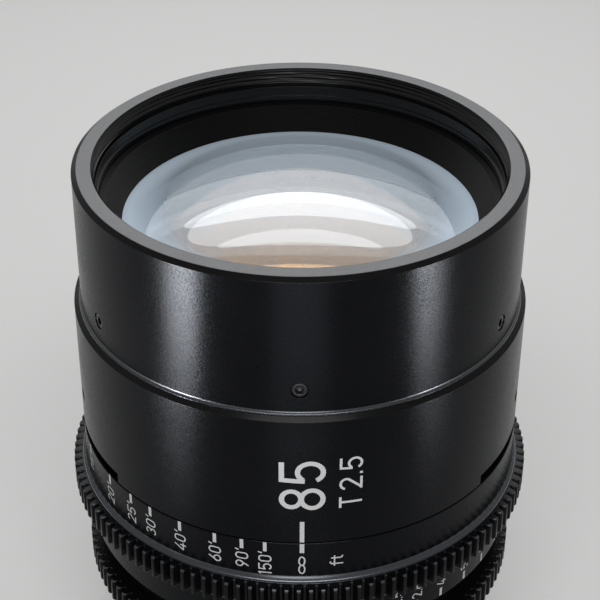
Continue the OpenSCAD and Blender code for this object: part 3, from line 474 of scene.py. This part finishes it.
frontRadius, frontFoot, rimTop = turnedSize("front_ring")
frontRing = {
    "boreRadius": 44.5, "footFlare": 0.45, "flareFoot": 0.1, "flareHigh": 0.7, "flarePoints": 9,
    "rimBreakWide": 1.1, "rimBreakHigh": 0.8, "mouthBreak": 0.4, "filterRadius": 43.0, "threadEnd": 3.6,
    "threadPitch": 1.0, "threadDepth": 0.5, "threadFade": 0.25, "threadMargin": 0.1, "threadRows": 56,
    "reliefOut": 0.5, "reliefHigh": 0.6, "wallRadius": 42.53, "lipDrop": 6.4, "lipRadius": 42.23,
    "cellTop": 106.6, "softReach": 0.06,
}
setScrews = {
    "wall": frontRadius, "azimuths": range(0, 360, 60), "height": 90.7, "radius": 1.73, "depth": 1.6,
    "halfCells": 5, "rowStep": 0.62, "screwRadius": 1.7, "screwDepth": 1.5, "socketRadius": 0.95,
    "socketDeep": 0.8, "sink": 0.22,
}


# Filter thread: the wall goes out and back once in each pitch along a helix, and runs out at both ends
def cutThread(radius, height, azimuth):
    ring = frontRing
    top = rimTop - ring["mouthBreak"]
    foot = rimTop - ring["threadEnd"]
    phase = (height - foot) / ring["threadPitch"] - azimuth / (2 * math.pi)
    wave = 1 - np.abs(2 * (phase - np.floor(phase)) - 1)
    fade = np.clip(np.minimum(top - height, height - foot) / ring["threadFade"], 0, 1)
    onThread = np.abs(radius - ring["filterRadius"]) < 1e-6
    return radius + np.where(onThread, ring["threadDepth"] * wave * fade, 0.0)


def buildFrontRing():
    ring = frontRing
    threadFoot = rimTop - ring["threadEnd"]
    reliefFoot = threadFoot - ring["reliefHigh"]
    lipTop = rimTop - ring["lipDrop"]
    reliefRadius = ring["filterRadius"] + ring["reliefOut"]
    bend = np.linspace(0, math.pi / 2, ring["flarePoints"])
    flare = zip(frontRadius + ring["footFlare"] * (1 - np.sin(bend)),
                frontFoot + ring["flareFoot"] + ring["flareHigh"] * (1 - np.cos(bend)))
    corners = [
        (ring["boreRadius"], frontFoot), (frontRadius + ring["footFlare"], frontFoot), *flare,
        (frontRadius, rimTop - ring["rimBreakHigh"]),
        (frontRadius - ring["rimBreakWide"], rimTop), (ring["filterRadius"] + ring["mouthBreak"], rimTop),
        (ring["filterRadius"], rimTop - ring["mouthBreak"]), (ring["filterRadius"], threadFoot),
        (reliefRadius, threadFoot), (reliefRadius, reliefFoot), (ring["wallRadius"], reliefFoot),
        (ring["wallRadius"], lipTop), (ring["lipRadius"], lipTop), (ring["lipRadius"], ring["cellTop"]),
        (ring["boreRadius"], ring["cellTop"])]
    # The rim's top face takes the finish whose grey base is painted light
    zoneNames = ["anodised"] + ["lip"] * ring["flarePoints"] + ["anodised", "edge", "rim", "edge"]
    zoneNames += ["inside"] * (len(corners) - len(zoneNames))
    threadRows = np.linspace(threadFoot + ring["threadMargin"],
                             rimTop - ring["mouthBreak"] - ring["threadMargin"], ring["threadRows"])
    turnedPiece("front_ring_shell", "front_ring", corners, zoneNames, reach=ring["softReach"],
                wallRows=[(ring["filterRadius"], threadRows), (frontRadius, holeRows(setScrews))],
                shift=cutThread, holes=setScrews)


buildFrontRing()


# Flush hexagon socket screws set radially into a wall: loops of a given radius and depth, some of them
# drawn in to a hexagon by a share. The head's edge is listed as steps in and down, the socket's as steps
# out and down with that share
screwForm = {
    "columns": 48, "headEdge": ((0.0, 0.2), (0.02, 0.12), (0.12, 0.02), (0.2, 0.0)),
    "socketEdge": ((0.2, 0.0, 0), (0.1, 0.01, 0.6), (0.0, 0.1, 1)), "floorShare": 0.9, "floorDrop": 0.02,
    "drillPoint": 0.25,
}


def buildSocketScrews(name, node, screw):
    around = np.arange(screwForm["columns"]) * 2 * math.pi / screwForm["columns"]
    hexagon = math.cos(math.pi / 6) / np.cos(np.mod(around, math.pi / 3) - math.pi / 6)
    socket = screw["socketRadius"]
    outer = screw["screwRadius"]
    sink = screw["sink"]
    floor = sink + screw["socketDeep"]
    loops = np.array([
        (0.0, screw["screwDepth"], 0), (outer, screw["screwDepth"], 0),
        *((outer - inward, sink + down, 0) for inward, down in screwForm["headEdge"]),
        *((socket + outward, sink + down, share) for outward, down, share in screwForm["socketEdge"]),
        (socket, floor, 1), (socket * screwForm["floorShare"], floor + screwForm["floorDrop"], 1),
        (0.0, floor + screwForm["drillPoint"], 1)])
    reach = loops[:, :1] * (1 + loops[:, 2:] * (hexagon[None, :] - 1))
    pieces = []
    for azimuth in np.radians(list(screw["azimuths"])):
        pieces.append(turnPoint(screw["wall"] - loops[:, 1:2], screw["height"] + reach * np.sin(around),
                                azimuth + reach * np.cos(around) / screw["wall"]))
    points = np.array(pieces)
    quads = gridQuads(len(loops), len(around), False).reshape(-1, 4)
    offsets = np.arange(len(points)) * len(loops) * len(around)
    faces = (quads[None] + offsets[:, None, None]).reshape(-1, 4)
    makePiece(name, points, faces, [paint["screw"]], "lens_body", [node], merge=True,
              sharpAngle=35)


buildSocketScrews("set_screws", "front_ring_screws", setScrews)
print("front ring built")

# Ridged baffle between the filter thread and the front glass

baffle = {"mouthRadius": 40.8, "footRadius": 37.7, "foot": 102.55, "ridges": 14, "ridgeDepth": 0.22,
          "footWall": 38.3, "undersideRadius": 40.0, "seatRadius": 41.3, "flangeDrop": 1.4, "softReach": 0.04}


def buildBaffle():
    flangeRadius, low, top = turnedSize("front_baffle")
    ridge = np.arange(2 * baffle["ridges"] + 1)[::-1] / (2 * baffle["ridges"])
    coneRadius = baffle["footRadius"] + (baffle["mouthRadius"] - baffle["footRadius"]) * ridge
    coneHeight = baffle["foot"] + (top - baffle["foot"]) * ridge
    coneRadius = coneRadius + baffle["ridgeDepth"] * (np.arange(len(ridge)) % 2)
    flangeFoot = top - baffle["flangeDrop"]
    corners = [(baffle["footWall"], baffle["foot"]), (baffle["undersideRadius"], low),
               (baffle["seatRadius"], low), (baffle["seatRadius"], flangeFoot), (flangeRadius, flangeFoot),
               (flangeRadius, top), *zip(coneRadius, coneHeight)]
    turnedPiece("baffle_ring", "front_baffle", corners, ["baffle"] * len(corners),
                reach=baffle["softReach"])


buildBaffle()


# A lens element: each surface is a sphere's cap, with its height at radius r being the crown's height less
# the sag, and a straight edge joins the two. A positive sphere radius bulges towards the front
def capHeight(crown, sphere, r):
    return crown - math.copysign(1, sphere) * (abs(sphere) - np.sqrt(sphere * sphere - r * r))


elements = {
    "front_element": {"radius": 40, "front": (110.8, 90), "back": (100.2, 140), "rings": 72,
                      "coatings": ("frontBack", "frontFace", *paintedReflectionNames),
                      "steps": np.linspace(paintedReflection["from"], paintedReflection["to"], paintedReflection["steps"])},
    "second_element": {"radius": 36, "front": (99.2, 85), "back": (92.4, 110), "rings": 56,
                       "coatings": ("violet", "amber")},
    "focus_element": {"body": "focus_group", "radius": 32, "front": (71.9, 58), "back": (63.9, 140)},
    "focus_doublet_front": {"body": "focus_group", "radius": 28, "front": (61.9, 80), "back": (50.9, -120)},
    "focus_doublet_back": {"body": "focus_group", "radius": 28, "front": (50.87, -120), "back": (48.9, 70)},
    "rear_doublet_front": {"radius": 23, "front": (10.94, -50), "back": (8.94, 80)},
    "rear_doublet_back": {"radius": 23, "front": (8.91, 80), "back": (-0.96, -60)},
    "rear_element": {"radius": 21, "front": (-2.46, 70), "back": (-10.46, -200)},
}
plainElement = {"body": "lens_body", "rings": 40, "coatings": ("violet", "violet"), "steps": ()}
glassColumns = 192


def buildElement(node, element):
    element = {**plainElement, **element}
    low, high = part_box(node)
    r = np.linspace(0, element["radius"], element["rings"])
    back = np.maximum(capHeight(*element["back"], r), low.z / mm)
    front = np.minimum(capHeight(*element["front"], r), high.z / mm)
    profile = np.concatenate([np.stack([r, back], axis=1), np.stack([r, front], axis=1)[::-1]])
    azimuths = np.arange(glassColumns) * 2 * math.pi / glassColumns
    points = turnPoint(profile[:, :1], profile[:, 1:], azimuths[None, :])
    frontZone = 1 + np.searchsorted(element["steps"], r[:0:-1])
    zone = np.concatenate([np.zeros(element["rings"], int), frontZone])
    makePiece(node + "_glass", points, gridQuads(len(profile), len(azimuths), False),
              [glass[name] for name in element["coatings"]], element["body"], [node],
              np.repeat(zone, len(azimuths)), merge=True, sharpAngle=40)


for node, element in elements.items():
    buildElement(node, element)
print("glass and baffle built")

# Index barrel with its side notches and screws

barrelRadius, barrelFoot, barrelTop = turnedSize("index_barrel")
barrel = {"footBreak": 0.12, "topBreakWide": 1.0, "topBreakHigh": 0.8, "boreRadius": 44.6,
          "notchFrom": 52, "notchTo": 128, "notchTop": 55.9, "notchFloor": 47.5, "sideStep": 0.05,
          "topStep": 0.03, "softReach": 0.07}
barrelScrews = {
    "wall": barrelRadius, "azimuths": (75, 105, -75, -105), "height": 64.0, "radius": 1.33, "depth": 1.6,
    "halfCells": 4, "rowStep": 0.64, "screwRadius": 1.3, "screwDepth": 1.5, "socketRadius": 0.75,
    "socketDeep": 0.7, "sink": 0.2,
}


# Side notches: the wall steps in below the notch's top between its two azimuths on either side
def cutNotches(radius, height, azimuth):
    turned = np.degrees(np.abs(wrapTurn(azimuth)))
    inside = (turned > barrel["notchFrom"]) & (turned < barrel["notchTo"]) & (height < barrel["notchTop"])
    return np.where(inside, np.minimum(radius, barrel["notchFloor"]), radius)


def buildIndexBarrel():
    corners = [
        (barrel["boreRadius"], barrelFoot), (barrelRadius - barrel["footBreak"], barrelFoot),
        (barrelRadius, barrelFoot + barrel["footBreak"]), (barrelRadius, barrelTop - barrel["topBreakHigh"]),
        (barrelRadius - barrel["topBreakWide"], barrelTop), (barrel["boreRadius"], barrelTop)]
    zoneNames = ["anodised", "edge", "anodised", "edge", "edge", "anodised"]
    sides = np.array([side * (edge + step) for side in (1, -1)
                      for edge in (barrel["notchFrom"], barrel["notchTo"])
                      for step in (-barrel["sideStep"], barrel["sideStep"])])
    notchRows = barrel["notchTop"] + np.array([-barrel["topStep"], barrel["topStep"]])
    wallHeights = np.concatenate([notchRows, holeRows(barrelScrews)])
    turnedPiece("index_barrel_shell", "index_barrel", corners, zoneNames, reach=barrel["softReach"],
                wallRows=[(barrelRadius, wallHeights)], shift=cutNotches,
                holes=barrelScrews, extraAzimuths=sides)
    buildSocketScrews("barrel_socket_screws", "barrel_screws", barrelScrews)


buildIndexBarrel()

# Focus ring with its flared foot, stop scale ring, iris ring and rear barrel

focusRing = {"bore": 41.18, "seatRadius": 47.0, "seatTop": 42.9, "scaleRadius": 49.0, "lipRadius": 50.0,
             "lipHigh": 0.3, "flareHigh": 1.6, "flarePoints": 9, "topBreak": 0.12, "softReach": 0.06}


def buildFocusRing():
    ring = focusRing
    foot, top = turnedSize("focus_ring")[1:]
    bend = np.linspace(math.pi / 2, 0, ring["flarePoints"])
    flareRadius = ring["lipRadius"] - (ring["lipRadius"] - ring["scaleRadius"]) * np.cos(bend)
    flareHeight = ring["seatTop"] + ring["lipHigh"] + ring["flareHigh"] * (1 - np.sin(bend))
    corners = [(ring["bore"], foot), (ring["seatRadius"], foot), (ring["seatRadius"], ring["seatTop"]),
               (ring["lipRadius"], ring["seatTop"]), *zip(flareRadius, flareHeight),
               (ring["scaleRadius"], top - ring["topBreak"]),
               (ring["scaleRadius"] - ring["topBreak"], top), (ring["bore"], top)]
    zoneNames = ["anodised"] * 3 + ["lip"] * (ring["flarePoints"] - 1)
    zoneNames += ["anodised"] * 3 + ["edge", "anodised"]
    turnedPiece("focus_ring_shell", "focus_ring", corners, zoneNames, body="focus_ring",
                reach=ring["softReach"])


stopRing = {"bore": 39.03, "edgeBreak": 0.4}
irisRing = {"bore": 39.05, "seatRadius": 45.0, "seatTop": 21.0, "edgeBreak": 0.4}


def buildPlainRings():
    radius, foot, top = turnedSize("stop_scale_ring")
    bore, edge = stopRing["bore"], stopRing["edgeBreak"]
    corners = [(bore, foot), (radius - edge, foot), (radius, foot + edge), (radius, top - edge),
               (radius - edge, top), (bore, top)]
    turnedPiece("stop_scale_shell", "stop_scale_ring", corners,
                ["anodised", "edge", "anodised", "edge", "anodised", "anodised"])
    radius, foot, top = turnedSize("iris_ring")
    bore, edge = irisRing["bore"], irisRing["edgeBreak"]
    seatRadius, seatTop = irisRing["seatRadius"], irisRing["seatTop"]
    corners = [(bore, foot), (seatRadius, foot), (seatRadius, seatTop), (radius, seatTop),
               (radius, top - edge), (radius - edge, top), (bore, top)]
    turnedPiece("iris_ring_shell", "iris_ring", corners,
                ["anodised"] * 4 + ["edge", "anodised", "anodised"], body="iris_ring")


buildFocusRing()
buildPlainRings()


# Follow gear: one tooth is a trapezium of arc and radius with rounded corners, repeated round the ring, and
# towards both ends a cone cuts the tooth tips back. The roundings go with the corners of one tooth, and the
# rises with the rows of a cut end, as shares of the cut
gearForm = {
    "module": 0.8, "rootShare": 1.25, "flankDegrees": 20, "tipCut": 0.45, "plainDepth": 3, "endInset": 0.06,
    "roundings": (0.01, 0.01, 0.18, 0.12, 0.12, 0.18, 0.01, 0.01), "rises": (0.5, 0.95, 1.1), "faceStep": 0.3,
}


def buildGear(name, node, teeth, seat, body):
    foot, top = turnedSize(node)[1:]
    module = gearForm["module"]
    pitchRadius = module * teeth / 2
    tip = pitchRadius + module
    rootDepth = gearForm["rootShare"] * module
    root = pitchRadius - rootDepth
    half = math.pi * module / 2
    slant = math.tan(math.radians(gearForm["flankDegrees"]))
    atTip = half / 2 - module * slant
    atRoot = half / 2 + rootDepth * slant
    plain = root - gearForm["plainDepth"]
    corners = np.array([(-half, plain), (-half, root), (-atRoot, root), (-atTip, tip), (atTip, tip),
                        (atRoot, root), (half, root), (half, plain)])
    rounded = softProfile(corners, gearForm["roundings"]).reshape(-1, pointsPerCorner, 2)
    tooth = np.concatenate([[[-half, root]], rounded[2:6].reshape(-1, 2)])
    turned = (np.arange(teeth)[:, None] * 2 * half + tooth[None, :, 0]).ravel() / pitchRadius
    outline = np.tile(tooth[:, 1], teeth)
    cut = gearForm["tipCut"]
    rise = np.array([0.0, gearForm["endInset"], *(share * cut for share in gearForm["rises"])])
    height = np.concatenate([foot + rise, top - rise[::-1]])
    inset = np.zeros(len(height))
    inset[[0, -1]] = gearForm["endInset"]
    limit = tip - cut + np.minimum(height - foot, top - height)
    radius = np.minimum(outline[None, :] - inset[:, None], limit[:, None])
    heights = np.repeat(height[:, None], len(turned), axis=1)
    ends = np.ones((1, len(turned)))
    face = root - gearForm["faceStep"]
    radius = np.vstack([ends * seat, ends * face, radius, ends * face, ends * seat])
    heights = np.vstack([ends * foot, ends * foot, heights, ends * top, ends * top])
    points = turnPoint(radius, heights, turned[None, :])
    rowZone = np.zeros(len(radius), int)
    rowZone[[3, 4, 8, 9]] = 1  # the cut back ends of the teeth
    makePiece(name, points, gridQuads(len(radius), len(turned), True), [paint["gear"], paint["lip"]], body,
              [node], np.repeat(rowZone, len(turned)), sharpAngle=38)


buildGear("focus_gear_teeth", "focus_gear", teeth=128, seat=47.03, body="focus_ring")
buildGear("iris_gear_teeth", "iris_gear", teeth=122, seat=45.03, body="iris_ring")

rearBarrel = {"throatRadius": 25.03, "neckRadius": 33.0, "neckTop": 9.5, "shoulderRadius": 40.0,
              "shoulderTop": 13.2, "boreRadius": 39.03, "floorTop": 11.5, "softReach": 0.15}


def buildRearBarrel():
    radius, foot, top = turnedSize("rear_barrel")
    rear = rearBarrel
    corners = [(rear["throatRadius"], foot), (rear["neckRadius"], foot),
               (rear["neckRadius"], rear["neckTop"]), (rear["shoulderRadius"], rear["neckTop"]),
               (radius, rear["shoulderTop"]), (radius, top),
               (rear["boreRadius"], top), (rear["boreRadius"], rear["floorTop"]),
               (rear["throatRadius"], rear["floorTop"])]
    turnedPiece("rear_barrel_shell", "rear_barrel", corners, ["anodised"] * len(corners),
                reach=rear["softReach"])


buildRearBarrel()
print("barrels, rings and gears built")

# Painted marks: strokes of one width, laid on a wall as a thin film that is closed all round

markPaint = {"lift": 0.012, "sink": 0.05, "strokeShare": 0.11, "signWide": 0.54, "signGap": 0.11,
             "layers": 5, "layerStep": 0.0006}


def arcStroke(centre, size, fromDegrees, toDegrees, count=33):
    a = np.radians(np.linspace(fromDegrees, toDegrees, count))
    return np.stack([centre[0] + size[0] * np.cos(a), centre[1] + size[1] * np.sin(a)], axis=1)


def lineStroke(*corners):
    return np.asarray(corners, float)


# Strokes of each sign in a box one high: width of the box, then middle lines inside it
def makeSigns():
    s = markPaint["strokeShare"]
    w = markPaint["signWide"]
    low, high = s / 2, 1 - s / 2
    left, right, middle = s / 2, w - s / 2, w / 2
    bowl = (right - left) / 2

    def loop(left, right, foot, top):
        centre = ((left + right) / 2, (foot + top) / 2)
        return arcStroke(centre, ((right - left) / 2, (top - foot) / 2), 0, 360, 49)

    zero = np.concatenate([arcStroke((middle, high - bowl), (bowl, bowl), 0, 180, 17),
                           arcStroke((middle, low + bowl), (bowl, bowl), 180, 360, 17)])
    zero = np.vstack([zero, zero[:1]])
    return {
        "0": (w, [zero]),
        "1": (0.36, [lineStroke((0.26, 0), (0.26, 1)), lineStroke((0.28, high + 0.02), (0.03, 0.74))]),
        "2": (w, [np.vstack([arcStroke((middle, high - bowl * 1.1), (bowl, bowl * 1.1), 168, -38),
                             [(left + 0.03, low)]]), lineStroke((0.02, low), (w, low))]),
        "3": (w, [arcStroke((middle, high - 0.205), (bowl * 0.94, 0.205), 150, -90),
                  arcStroke((middle, low + 0.228), (bowl, 0.228), 90, -150)]),
        "4": (w + 0.02, [lineStroke((0.38, 1), (0.03, 0.27)), lineStroke((0, 0.25), (w + 0.02, 0.25)),
                         lineStroke((0.39, 0.52), (0.39, 0))]),
        "5": (w, [lineStroke((0.04, high), (w - 0.03, high)), lineStroke((left + 0.035, 1), (left, 0.45)),
                  arcStroke((middle, low + 0.275), (bowl, 0.275), 146, -152)]),
        "6": (w, [loop(left, right, low, low + 0.52), lineStroke((left + 0.02, low + 0.33), (0.41, 1))]),
        "7": (w, [lineStroke((0, high), (w, high)), lineStroke((right, high), (0.17, 0))]),
        "8": (w, [loop(left + 0.022, right - 0.022, high - 0.415, high),
                  loop(left, right, low, low + 0.465)]),
        "9": (w, [loop(left, right, high - 0.52, high),
                  lineStroke((right - 0.02, high - 0.33), (w - 0.41, 0))]),
        ".": (0.13, [lineStroke((0.065, 0), (0.065, s * 1.15))]),
        "'": (0.17, [lineStroke((0.13, 1), (0.05, 0.72))]),
        "T": (0.48, [lineStroke((0, high), (0.48, high)), lineStroke((0.24, high), (0.24, 0))]),
        "f": (0.34, [np.vstack([arcStroke((0.28, high - 0.15), (0.13, 0.15), 70, 180, 13), [(0.15, 0)]]),
                     lineStroke((0.0, 0.64), (0.34, 0.64))]),
        "t": (0.34, [np.vstack([[(0.13, 0.9)], arcStroke((0.27, low + 0.15), (0.14, 0.15), 180, 275, 13)]),
                     lineStroke((-0.08, 0.64), (0.31, 0.64))]),
        "endless": (1.72, [loop(s / 2, 0.87, 0.5 - 0.21, 0.5 + 0.21),
                           loop(0.85, 1.72 - s / 2, 0.5 - 0.21, 0.5 + 0.21)]),
        " ": (0.07, []),
    }


signs = makeSigns()


# Even steps along a line, so that a ribbon keeps its width round its corners
def evenSteps(line, step=0.03):
    lengths = np.concatenate([[0], np.cumsum(np.linalg.norm(np.diff(line, axis=0), axis=1))])
    wanted = np.linspace(0, lengths[-1], max(3, int(lengths[-1] / step) + 1))
    return np.stack([np.interp(wanted, lengths, line[:, 0]), np.interp(wanted, lengths, line[:, 1])], axis=1)


# Ribbon round one stroke: its two edges lie half a stroke to either side of the middle line, on the wall
# and just inside it. Positions are along the wall (height) and across it (arc towards the left). step lifts
# strokes that cross each other apart
def strokeRibbon(line, width, wallRadius, azimuth, foot, step):
    closed = len(line) > 2 and np.allclose(line[0], line[-1])
    if closed:
        line = line[:-1]
        tangent = np.roll(line, -1, axis=0) - np.roll(line, 1, axis=0)
    else:
        tangent = np.gradient(line, axis=0)
    tangent = tangent / np.linalg.norm(tangent, axis=1, keepdims=True)
    normal = np.stack([-tangent[:, 1], tangent[:, 0]], axis=1) * width / 2
    left, right = line + normal, line - normal
    top = wallRadius + markPaint["lift"] + step
    bottom = wallRadius - markPaint["sink"]
    corners = np.stack([left, right, right, left], axis=1)
    radius = np.array([top, top, bottom, bottom])[None, :]
    points = turnPoint(radius, foot + corners[..., 0], azimuth - corners[..., 1] / wallRadius)
    quads = gridQuads(len(line), 4, closed).reshape(-1, 4)
    if not closed:
        last = 4 * (len(line) - 1)
        quads = np.vstack([quads, [[0, 1, 2, 3]], [[last + 3, last + 2, last + 1, last]]])
    return points.reshape(-1, 3), quads


# Length of a written word
def wordLength(word, size, wide):
    return (sum(signs[sign][0] + markPaint["signGap"] for sign in word) - markPaint["signGap"]) * size * wide


class MarkSheet:
    # Gathers the ribbons of one piece
    def __init__(self, wallRadius):
        self.wallRadius = wallRadius
        self.points, self.quads, self.count, self.strokes = [], [], 0, 0

    def add(self, line, width, azimuthDegrees, foot):
        step = markPaint["layerStep"] * (self.strokes % markPaint["layers"])
        points, quads = strokeRibbon(line, width, self.wallRadius, math.radians(azimuthDegrees), foot, step)
        self.points.append(points)
        self.quads.append(quads + self.count)
        self.count += len(points)
        self.strokes += 1

    # Words read upwards, with the tops of their signs to the left. foot is where the word starts
    def write(self, word, size, azimuthDegrees, foot, wide=1.0, stroke=None):
        along = 0.0
        for sign in word:
            width, lines = signs[sign]
            for line in lines:
                placed = (evenSteps(line) + [along, -0.5]) * [size * wide, size]
                self.add(placed, stroke or size * markPaint["strokeShare"], azimuthDegrees, foot)
            along += width + markPaint["signGap"]

    # A tick along the axis
    def tick(self, azimuthDegrees, foot, top, width):
        self.add(lineStroke((0, 0), ((top - foot) / 2, 0), (top - foot, 0)), width, azimuthDegrees, foot)

    def finish(self, name, body):
        points = np.vstack(self.points)
        piece = makePiece(name, points, np.vstack(self.quads), [paint["white"]], body,
                          sharpAngle=30)
        work = bmesh.new()
        work.from_mesh(piece.data)
        bmesh.ops.recalc_face_normals(work, faces=work.faces)
        work.to_mesh(piece.data)
        work.free()


indexAzimuth = 0.72
barrelWords = {"tickTop": 59.1, "tickWide": 0.93,
               "length": {"word": "85", "size": 9.35, "azimuthDegrees": indexAzimuth, "foot": 62.15,
                          "wide": 1.124, "stroke": 1.06},
               "stop": {"word": "T 2.5", "size": 4.76, "azimuthDegrees": 12.15, "foot": 62.25, "wide": 1.22}}
barrelMarks = MarkSheet(barrelRadius)
barrelMarks.tick(indexAzimuth, barrelFoot + barrel["footBreak"], barrelWords["tickTop"],
                 barrelWords["tickWide"])
barrelMarks.write(**barrelWords["length"])
barrelMarks.write(**barrelWords["stop"])
barrelMarks.finish("barrel_marks", "lens_body")

focusScale = {"size": 2.8, "wide": 1.2, "tickWide": 0.76, "tickFoot": 50.75, "tickTop": 53.15,
              "wordTop": 50.65, "endlessFoot": 45.0,
              "unit": {"word": "ft", "azimuthDegrees": 9.05, "foot": 46.9, "wide": 1.3},
              "marks": {"150'": 8.2, "90'": 13.9, "60'": 20.8, "40'": 30.4, "30'": 39.7, "25'": 46.8,
                        "20'": 56.3, "15'": 70.0, "12'": 79.0, "10'": 87.0, "9'": 94.0, "8'": 101.5,
                        "7'": 110.0, "6'": 120.0, "5'": 133.0, "4'": 150.0, "3'": 174.0}}
focusMarks = MarkSheet(focusRing["scaleRadius"])
focusMarks.tick(indexAzimuth, focusScale["tickFoot"], focusScale["tickTop"], barrelWords["tickWide"])
focusMarks.write(["endless"], focusScale["size"], indexAzimuth, focusScale["endlessFoot"])
focusMarks.write(size=focusScale["size"], **focusScale["unit"])
for word, azimuth in focusScale["marks"].items():
    focusMarks.tick(-azimuth, focusScale["tickFoot"], focusScale["tickTop"], focusScale["tickWide"])
    focusMarks.write(word, focusScale["size"], -azimuth,
                     focusScale["wordTop"] - wordLength(word, focusScale["size"], focusScale["wide"]),
                     focusScale["wide"])
focusMarks.finish("focus_marks", "focus_ring")

stopScale = {"size": 2.6, "wordFoot": 31.2, "tickFoot": 28.2, "tickTop": 30.4, "tickWide": 0.7,
             "marks": {"2.5": 25.6, "2.8": 31.6, "4": 39.6, "5.6": 48.6, "8": 57.2, "11": 66.4, "16": 76.0,
                       "22": 85.6}}
stopMarks = MarkSheet(turnedSize("stop_scale_ring")[0])
for word, azimuth in stopScale["marks"].items():
    stopMarks.tick(azimuth, stopScale["tickFoot"], stopScale["tickTop"], stopScale["tickWide"])
    stopMarks.write(word, stopScale["size"], azimuth, stopScale["wordFoot"])
stopMarks.finish("stop_marks", "lens_body")

irisMark = {"azimuth": 25.6, "foot": 22.4, "top": 26.7, "wide": 0.8}
irisMarks = MarkSheet(turnedSize("iris_ring")[0])
irisMarks.tick(irisMark["azimuth"], irisMark["foot"], irisMark["top"], irisMark["wide"])
irisMarks.finish("iris_mark", "iris_ring")
print("marks painted")

# Finishes of the CAD nodes that stay

slotPaint = {"black_anodised": "anodised", "gear_black": "gear", "black_satin": "satin",
             "baffle_black": "baffle", "screw_black": "screw", "blade_black": "blade", "steel": "steel",
             "brass": "brass"}
for part in frame["record"]["subparts"]:
    slotName = part["material_slot"]
    mesh = frame["nodes"][part["node"]].data
    mesh.materials.clear()
    mesh.materials.append(paint[slotPaint[slotName]] if slotName in slotPaint else glass["violet"])

# Floor, lights and world

stage = {"floorRadius": 6.0, "floorRings": (0.001, 0.25, 1.0), "floorColumns": 96,
         "floorColour": (0.74, 0.74, 0.73, 1.0), "floorRoughness": 0.9, "floorSpecular": 0.1,
         "worldColour": (0.78, 0.79, 0.80, 1.0),
         "worldLight": 0.3, "worldSeen": 0.58}
floorHeight = cadBox[0][2] / mm
floorColumns = stage["floorColumns"]
around = np.arange(floorColumns) * 2 * math.pi / floorColumns
floorRings = np.array(stage["floorRings"])[:, None] * stage["floorRadius"] / mm
floorPoints = turnPoint(floorRings, floorHeight, around[None, :])
floorQuads = gridQuads(len(floorRings), floorColumns, False)[:, :, ::-1].reshape(-1, 4)
floorMesh = bpy.data.meshes.new("floor")
floorMesh.from_pydata((floorPoints.reshape(-1, 3) * mm).tolist(), [],
                      floorQuads.tolist() + [list(range(floorColumns))])
floor = bpy.data.objects.new("floor", floorMesh)
scene.collection.objects.link(floor)
floorPaint = bpy.data.materials.new("floorPaint")
floorPaint.use_nodes = True
setSockets(floorPaint.node_tree.nodes["Principled BSDF"],
           {"Base Color": stage["floorColour"], "Roughness": stage["floorRoughness"],
            "Specular IOR Level": stage["floorSpecular"]})
floorMesh.materials.append(floorPaint)

world = bpy.data.worlds.new("studio")
scene.world = world
world.use_nodes = True
worldLink = world.node_tree.links.new
background = world.node_tree.nodes["Background"]
background.inputs["Color"].default_value = stage["worldColour"]
# The world is seen pale, also by metal and glass, and lights the object less
rayKind = addNode(world.node_tree, "ShaderNodeLightPath")
seen = rayKind.outputs["Is Camera Ray"]
for kind in ("Is Glossy Ray", "Is Transmission Ray"):
    either = addNode(world.node_tree, "ShaderNodeMath", operation="MAXIMUM")
    worldLink(seen, either.inputs[0])
    worldLink(rayKind.outputs[kind], either.inputs[1])
    seen = either.outputs[0]
level = addNode(world.node_tree, "ShaderNodeMapRange")
setSockets(level, {"To Min": stage["worldLight"], "To Max": stage["worldSeen"]})
worldLink(seen, level.inputs["Value"])
worldLink(level.outputs["Result"], background.inputs["Strength"])


# A soft box of a size, aimed from its place at a point. A beam under half a turn keeps its light together
def addSoftBox(name, place, size, watts, target=(0, 0, 0.108), shape="RECTANGLE", beam=180):
    data = bpy.data.lights.new(name, "AREA")
    data.shape = shape
    data.size, data.size_y = size
    data.energy = watts
    data.spread = math.radians(beam)
    box = bpy.data.objects.new(name, data)
    scene.collection.objects.link(box)
    direction = (np.array(target) - np.array(place)).tolist()
    box.rotation_euler = Vector(direction).to_track_quat("-Z", "Y").to_euler()
    box.location = place
    box.visible_camera = False


softBoxes = {
    "key": {"place": (0.0, 0.394, 0.561), "size": (0.56, 0.266), "watts": 0.88, "shape": "ELLIPSE"},
    "keyHead": {"place": (0.0, 0.441, 0.512), "size": (0.55, 0.126), "watts": 0.5, "shape": "ELLIPSE"},
    "keyFoot": {"place": (0.0, 0.3214, 0.612), "size": (0.42, 0.062), "watts": 0.15, "shape": "ELLIPSE"},
    "backPanel": {"place": (0.0, 0.666, 0.5365), "size": (1.1, 0.258), "watts": 0.85},
    "backEdge": {"place": (0.0, 0.637, 0.558), "size": (0.9, 0.052), "watts": 0.07},
    "frontTop": {"place": (0.0, -0.47, 0.727), "target": (0, 0, 0.08), "size": (0.5, 0.22), "watts": 2.7},
    "frontStrip": {"place": (0.0, -0.24, 0.03), "target": (0, 0, 0.07), "size": (0.10, 0.10),
                   "watts": 0.018, "beam": 60},
    "leftStrip": {"place": (-0.2013, -0.1307, 0.02), "target": (0, 0, 0.150), "size": (0.09, 0.07),
                  "watts": 0.045, "beam": 26},
    "rightStrip": {"place": (0.2119, -0.1127, 0.02), "target": (0, 0, 0.155), "size": (0.08, 0.07),
                   "watts": 0.02, "beam": 26},
}
for name, box in softBoxes.items():
    addSoftBox(name, **box)
print("floor and lights set")
